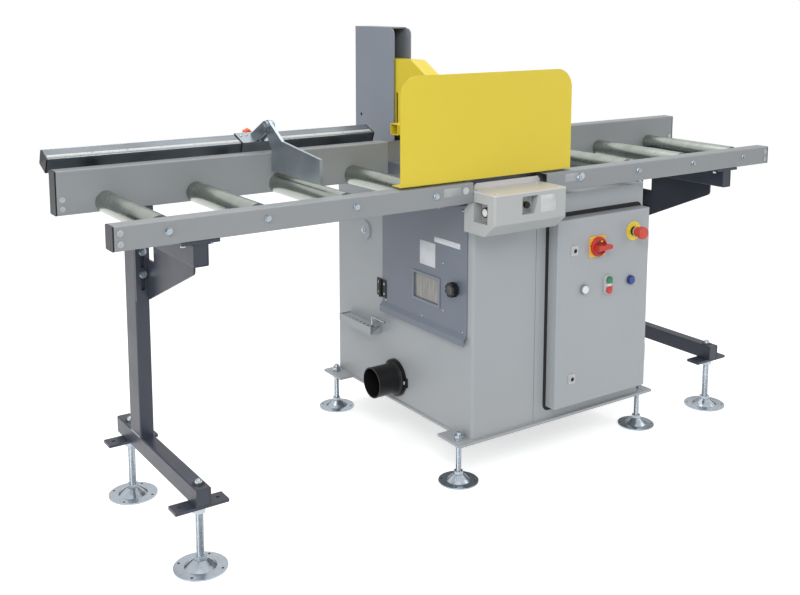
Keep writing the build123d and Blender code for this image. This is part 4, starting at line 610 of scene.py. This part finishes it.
slab(shape, (carriage_low.x - 0.0022, y - 0.0300, z - 0.0015), (carriage_low.x, y + 0.0300, z + 0.0015), 0.0005, 1,
     Matrix.Rotation(scale_tilt, 4, "X"))
for along in (-0.0018, 0.0568):
    y, z = scale_point(along, -0.017)
    slab(shape, (carriage_low.x - 0.0022, y - 0.0014, z - 0.0180), (carriage_low.x, y + 0.0014, z + 0.0180), 0.0005,
         1, Matrix.Rotation(scale_tilt, 4, "X"))
piece("sleeve_wiper", shape, black_plastic, "length_stop")
shape = bmesh.new()
turned(shape, (-0.541, face_y + 0.455, 1.068), (1, 0, 0),
       [(0.0, 0.0030), (0.0045, 0.0030), (0.0060, 0.0022), (0.0105, 0.0022), (0.0112, 0.0), (0.0112, -0.0012)], 24)
piece("stop_hinge_cap", shape, bright_zinc, "length_stop")
orange_plastic = plastic("orange plastic", (0.78, 0.085, 0.012), 0.35, 0.00002, 0.2)
dress(orange_plastic, "stop_knob")

# Service door: folded sheet, darker grey coat, with small pan head screws, a framed pane, black
# leaf hinges and two blank labels.
service_paint = paint("service door powder coat", (0.165, 0.190, 0.238), 0.93)
dress(service_paint, "service_door")
door_low, door_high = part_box("service_door")
door_face = -0.105
hinge_spans = ((0.462, 0.521), (0.755, 0.814))


def on_leaf(middle):
    """Whether a face belongs to the door's half of a hinge."""
    near = any(low - 0.001 <= middle.z <= high + 0.001 for low, high in hinge_spans)
    return near and middle.y > face_y + 0.5005 and middle.x < door_face - 0.0001


dress_part(black_plastic, "service_door", on_leaf)
pane = plastic("window pane", (0.18, 0.178, 0.165), 0.16, 0.00001, 0.5)
streaks = pane.noise(1.0, 5.0, pane.scaled(30.0, 160.0, 14.0))
pane.set(Base_Color=pane.mix(streaks.clipped(0.35, 0.7) * 2.8 - 1.0, (0.15, 0.15, 0.14), (0.27, 0.265, 0.25)))
dress(pane, "door_window")
shape = bmesh.new()
for inset, z in ((0.503, 0.456), (0.298, 0.455), (0.187, 0.500), (0.091, 0.455), (0.188, 0.648), (0.091, 0.826),
                 (0.503, 0.826)):
    screw(shape, (door_face, face_y + inset, z), (-1, 0, 0), 0.0042, 0.0026)
for low, high in hinge_spans:
    for z in (low + 0.013, high - 0.013):
        screw(shape, (door_face - 0.003, face_y + 0.511, z), (-1, 0, 0), 0.0042, 0.0020)
piece("door_screws", shape, bright_zinc, "side_door")
shape = bmesh.new()
for low, high in hinge_spans:
    for z in (low + 0.013, high - 0.013):
        screw(shape, (door_face, face_y + 0.547, z), (-1, 0, 0), 0.0042, 0.0020)
piece("hinge_screws", shape, bright_zinc, "machine")
door_label = plastic("door label film", (0.60, 0.62, 0.66), 0.35, 0.00001, 0.2)
label("door_label", (door_face - 0.0007, face_y + 0.229, 0.622), (door_face, face_y + 0.311, 0.698), door_label,
      "side_door", 0.0003)
label("door_strip", (door_face - 0.0007, face_y + 0.104, 0.705), (door_face, face_y + 0.235, 0.722), door_label,
      "side_door", 0.0003)
window_low, window_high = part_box("door_window")
shape = bmesh.new()
frame_out, frame_in = 0.0085, 0.0015
for y in (window_low.y + 0.007 - frame_out, window_high.y - 0.007 + frame_in):
    slab(shape, (door_face - 0.0030, y, window_low.z + 0.007 - frame_out),
         (door_face - 0.0019, y + frame_out - frame_in, window_high.z - 0.007 + frame_out), 0.0004, 1)
for z in (window_low.z + 0.007 - frame_out, window_high.z - 0.007 + frame_in):
    slab(shape, (door_face - 0.0030, window_low.y + 0.007 - frame_in, z),
         (door_face - 0.0019, window_high.y - 0.007 + frame_in, z + frame_out - frame_in), 0.0004, 1)
frame_paint = paint("window frame coat", (0.21, 0.24, 0.285), 0.95)
piece("window_frame", shape, frame_paint, "side_door")

# Door knob: a black lobed grip with a recessed cap in the same plastic.
knob_low, knob_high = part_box("door_knob")
shape = bmesh.new()
turned(shape, (knob_low.x, face_y + 0.123, 0.581), (-1, 0, 0),
       [(0.0, 0.0002), (0.0100, 0.0006), (0.0112, 0.0016), (0.0130, 0.0018), (0.0142, 0.0010), (0.0144, -0.0004)], 32)
piece("knob_cap", shape, cap_grey, "door_latch")

# Tool tray: its hexagon key is bright steel, bent through a quarter turn.
key_steel = zinc("key steel", (0.50, 0.52, 0.54), (0.36, 0.38, 0.40), 0.25, 60.0)
dress_part(key_steel, "tool_holder", lambda middle: middle.x < -0.1275 and middle.x > -0.1365 and middle.z > 0.3372)

# Block in the tool tray, which holds the keys: same coat. Its bores are not cut; black discs on its top are painted
# shade where they open.
tray_low, tray_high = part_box("tool_holder")
tray_front, tray_end = face_y + 0.5365, face_y + 0.7295
shape = bmesh.new()
slab(shape, (tray_low.x + 0.0035, tray_front, 0.3375), (door_face - 0.0005, tray_end, 0.3565), 0.0005, 1)
piece("tray_block", shape, cabinet_paint, "machine")
# Painted shade: one flat black disc for each bore, smaller towards the back.
shape = bmesh.new()
for n in range(7):
    turned(shape, (door_face - 0.028, tray_front + 0.034 + n * 0.024, 0.3565), (0, 0, 1),
           [(0.0, 0.0002), (0.0048 - n * 0.0004, 0.0002), (0.0050 - n * 0.0004, -0.0002)], 20)
piece("tray_bore_shades", shape, black_plastic, "machine")

# Switch box door: same coat, a little smoother.
panel_paint = paint("switch box powder coat", (0.375, 0.402, 0.425), 0.96, rough=0.38)
dress(panel_paint, "enclosure_door")

# Fittings of the switch box door: yellow switch plate and emergency stop disc, light grey bezels
# and lock plates, black collar and contact blocks.
light_plastic = plastic("bezel plastic", (0.50, 0.51, 0.52), 0.35, 0.00002, 0.1)
dress(light_plastic, "door_fittings")
amber_plastic = plastic("amber plastic", (0.80, 0.44, 0.020), 0.4, 0.00003)
yellow_plastic = plastic("yellow plastic", (0.78, 0.60, 0.030), 0.4, 0.00003)
panel_face = -0.372
switch = Vector((0.360, 0.0, 0.674))
stop = Vector((0.521, 0.0, 0.703))
double_x, button_z = 0.409, 0.543


def beside(middle, centre, reach):
    """Whether a face lies within reach of a centre, across the door."""
    return max(abs(middle.x - centre.x), abs(middle.z - centre.z)) < reach


dress_part(amber_plastic, "door_fittings", lambda middle: beside(middle, switch, 0.034))
dress_part(yellow_plastic, "door_fittings", lambda middle: beside(middle, stop, 0.032))
dress_part(black_plastic, "door_fittings",
           lambda middle: middle.y > panel_face + 0.0001 or (beside(middle, stop, 0.032)
                                                             and middle.y < panel_face - 0.0021))
dress_part(white_plastic, "door_fittings", lambda middle: middle.y < panel_face - 0.0081)
blue_ring = plastic("blue ring plastic", (0.022, 0.045, 0.14), 0.4, 0.00002)
first_button, last_button = Vector((double_x - 0.103, 0.0, button_z)), Vector((double_x + 0.103, 0.0, button_z))
dress_part(blue_ring, "door_fittings", lambda middle: beside(middle, last_button, 0.0160) and middle.y < panel_face)
ring_grey = plastic("ring plastic", (0.22, 0.23, 0.24), 0.35, 0.00002)
dress_part(ring_grey, "door_fittings", lambda middle: beside(middle, first_button, 0.0160) and middle.y < panel_face)

# Main switch: red handle with a yellow pointer on its rim, over a plate with a black index.
red_plastic = plastic("red plastic", (0.50, 0.022, 0.010), 0.36, 0.00002, 0.1)
dress(red_plastic, "main_switch_handle", "button_red")
dark_red = plastic("dark red plastic", (0.22, 0.016, 0.010), 0.4, 0.00002)
dress_part(dark_red, "main_switch_handle",
           lambda middle: abs(middle.y - (panel_face - 0.013)) < 0.0001 and (middle - switch).xz.length < 0.0238)
shape = bmesh.new()
turned(shape, (switch.x - 0.0295, panel_face - 0.004, switch.z + 0.004), (0, -1, 0),
       [(0.0, 0.0008), (0.0026, 0.0008), (0.0030, -0.0002)], 20)
piece("switch_index", shape, black_plastic, "panel_door")
shape = bmesh.new()
turned(shape, (switch.x, panel_face - 0.004, switch.z), (0, -1, 0),
       [(0.0282, 0.0002), (0.0312, 0.0002), (0.0316, 0.0020), (0.0312, 0.0082), (0.0300, 0.0096), (0.0282, 0.0096)], 64)
piece("switch_rim", shape, red_plastic, "switch_handle")
shape = bmesh.new()
slab(shape, (switch.x + 0.004, panel_face - 0.0140, switch.z + 0.0145), (switch.x + 0.012, panel_face - 0.0125,
     switch.z + 0.0195), 0.0004, 1)
piece("switch_pointer", shape, yellow_plastic, "switch_handle")
shape = bmesh.new()
for x in (-0.028, 0.028):
    for z in (-0.028, 0.028):
        screw(shape, (switch.x + x, panel_face - 0.004, switch.z + z), (0, -1, 0), 0.0024, 0.0014)
piece("switch_screws", shape, bright_zinc, "panel_door")

# Emergency stop and push buttons: glossy moulded caps.
stop_red = plastic("stop red", (0.54, 0.050, 0.024), 0.40, 0.00002, 0.1)
dress(stop_red, "estop_button")
dress(white_plastic, "button_white")
green_plastic = plastic("green plastic", (0.012, 0.17, 0.055), 0.38, 0.00002, 0.1)
dress(green_plastic, "button_green")
dress(plastic("blue plastic", (0.010, 0.045, 0.26), 0.38, 0.00002, 0.1), "button_blue")

# Double button: each cap is widened to half an oval, green above and red below.
for node, way, finish in (("button_green", 1, green_plastic), ("button_red", -1, red_plastic)):
    low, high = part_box(node)
    shape = bmesh.new()
    half, straight, centre = 0.0124, 0.0052, 0.0165
    outline = [(double_x + half, button_z + way * straight), (double_x + half, button_z + way * centre)]
    outline += [(double_x + half * cos(pi * n / 16), button_z + way * (centre + half * sin(pi * n / 16)))
                for n in range(1, 16)]
    outline += [(double_x - half, button_z + way * centre), (double_x - half, button_z + way * straight)]
    cap = shape.faces.new([shape.verts.new((x, low.y - 0.0012, z)) for x, z in outline])
    grown = bmesh.ops.extrude_face_region(shape, geom=[cap])["geom"]
    bmesh.ops.translate(shape, vec=(0, 0.0011, 0), verts=[item for item in grown if isinstance(item, bmesh.types.BMVert)])
    rim = [link for link in shape.edges if all(vert.co.y < low.y - 0.0010 for vert in link.verts)]
    bmesh.ops.bevel(shape, geom=rim, offset=0.0006, segments=2, affect="EDGES", profile=0.5, material=-1)
    piece(node + "_face", shape, finish, node[7:] + "_button")

# Cam locks: nickel barrel with a black plastic insert that takes the key.
dress(turned_steel, "cam_lock_upper", "cam_lock_lower")
lock_z = {"cam_lock_upper": 0.672, "cam_lock_lower": 0.259}
for node in ("cam_lock_upper", "cam_lock_lower"):
    dress_part(black_plastic, node, lambda middle: middle.y < panel_face - 0.0020)
    low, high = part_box(node)
    shape = bmesh.new()
    turned(shape, (0.263, low.y, lock_z[node]), (0, -1, 0),
           [(0.0070, -0.0002), (0.0070, 0.0010), (0.0085, 0.0016), (0.0106, 0.0010), (0.0110, -0.0002)], 32)
    piece(node + "_rim", shape, light_plastic, node[9:] + "_lock")

# Painted shade in the gap between the cut-out of the cabinet and the switch box: thin near-black strips close it.
box_edge, box_base, cut_gap, cut_round = 0.194, 0.172, 0.015, 0.022
gap_shade_y = face_y + 0.044 + 0.0015
shape = bmesh.new()
for low, high in (((box_edge - cut_gap, box_base - cut_gap), (box_edge, 0.772 + cut_gap)),
                  ((box_edge, 0.772), (0.594, 0.772 + cut_gap)), ((box_edge, box_base - cut_gap), (0.594, box_base))):
    slab(shape, (low[0] + 0.0004, gap_shade_y, low[1] + 0.0004), (high[0] - 0.0004, gap_shade_y + 0.001, high[1] - 0.0004), 0.0003, 1)
piece("box_gap_shade", shape, painted_shade_black, "machine")

# Inside the switch box: mounting plate with two rails, switchgear, terminals and slotted ducts.
box_low, box_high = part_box("enclosure_box")
plate_y = box_high.y - 0.010
gear_grey = plastic("switchgear plastic", (0.36, 0.37, 0.38), 0.45)
duct_grey = plastic("duct plastic", (0.24, 0.26, 0.28), 0.5)
shape = bmesh.new()
for z in (0.640, 0.440):
    slab(shape, (0.260, plate_y - 0.0075, z - 0.0175), (0.530, plate_y, z + 0.0175), 0.001, 1)
piece("gear_rails", shape, bright_zinc, "machine")
shape = bmesh.new()
for x in (0.275, 0.322, 0.369, 0.416):
    slab(shape, (x, plate_y - 0.070, 0.602), (x + 0.045, plate_y - 0.0075, 0.680), 0.002)
    slab(shape, (x + 0.010, plate_y - 0.080, 0.620), (x + 0.035, plate_y - 0.070, 0.662), 0.002)
for n in range(18):
    slab(shape, (0.275 + n * 0.0125, plate_y - 0.045, 0.412), (0.2868 + n * 0.0125, plate_y - 0.0075, 0.468), 0.001, 1)
piece("switchgear", shape, gear_grey, "machine")
shape = bmesh.new()
for z in (0.535, 0.330):
    slab(shape, (0.235, plate_y - 0.050, z - 0.020), (0.555, plate_y, z - 0.0185), 0.0004, 1)
    slab(shape, (0.235, plate_y - 0.050, z + 0.0185), (0.555, plate_y, z + 0.020), 0.0004, 1)
    slab(shape, (0.235, plate_y - 0.0520, z - 0.021), (0.555, plate_y - 0.0500, z + 0.021), 0.0004, 1)
piece("cable_ducts", shape, duct_grey, "machine")

# Studio: white floor and surroundings, seen as plain white, with broad soft lights. Both are plain
# white to the camera and in reflections, and the floor keeps the shadow of the machine.
floor_mesh = bpy.data.meshes.new("floor")
shape = bmesh.new()
bmesh.ops.create_grid(shape, x_segments=1, y_segments=1, size=90.0)
shape.to_mesh(floor_mesh)
shape.free()
floor = bpy.data.objects.new("floor", floor_mesh)
scene.collection.objects.link(floor)
floor_finish = Finish("studio floor", Roughness=0.9, Emission_Strength=0.56)
path = floor_finish.node("ShaderNodeLightPath")
seen = path["Is Camera Ray"] + path["Is Glossy Ray"] + path["Is Transmission Ray"]
floor_finish.set(Base_Color=(0.80, 0.80, 0.80, 1.0), Emission_Color=seen.clipped(0.0, 1.0))
floor_mesh.materials.append(floor_finish.material)

# Dark curtain round the studio: it shows only in what mirrors it, and gives metal its dark edges.
shape = bmesh.new()
turned(shape, (0.0, 0.0, 0.05), (0, 0, 1), [(7.5, 0.0), (7.5, 2.1)], 48)
curtain_mesh = bpy.data.meshes.new("curtain")
shape.to_mesh(curtain_mesh)
shape.free()
curtain = bpy.data.objects.new("curtain", curtain_mesh)
scene.collection.objects.link(curtain)
curtain_mesh.materials.append(Finish("curtain cloth", Base_Color=(0.05, 0.055, 0.06, 1.0), Roughness=0.9).material)
curtain.visible_camera = False
curtain.visible_diffuse = False
curtain.visible_shadow = False
curtain.visible_transmission = False

world = bpy.data.worlds.new("studio")
world.use_nodes = True
scene.world = world
tree = world.node_tree
backdrop = tree.nodes["Background"]
backdrop.inputs["Color"].default_value = (1.0, 1.0, 1.0, 1.0)
ray = tree.nodes.new("ShaderNodeLightPath")
seen = Value(tree, ray.outputs["Is Camera Ray"]) + Value(tree, ray.outputs["Is Glossy Ray"])
seen = seen + Value(tree, ray.outputs["Is Transmission Ray"])
tree.links.new((seen.clipped(0.0, 1.0) * 0.5 + 0.5).socket, backdrop.inputs["Strength"])


def lamp(name, place, aim, size, power):
    """A soft studio lamp."""
    data = bpy.data.lights.new(name, "AREA")
    data.shape = "RECTANGLE"
    data.size, data.size_y = size
    data.energy = power
    made = bpy.data.objects.new(name, data)
    made.location = place
    made.rotation_euler = (Vector(aim) - Vector(place)).to_track_quat("-Z", "Y").to_euler()
    scene.collection.objects.link(made)


lamp("key", (-2.6, -3.4, 3.6), (0.0, 0.0, 0.7), (2.6, 2.0), 90.0)
lamp("left", (-4.6, -1.2, 1.5), (-0.3, 0.0, 0.6), (2.4, 2.2), 48.0)
lamp("fill", (3.2, -3.0, 2.2), (0.2, 0.0, 0.7), (2.4, 2.4), 36.0)
lamp("top", (0.0, 0.8, 4.2), (0.0, 0.0, 0.8), (3.6, 2.4), 70.0)
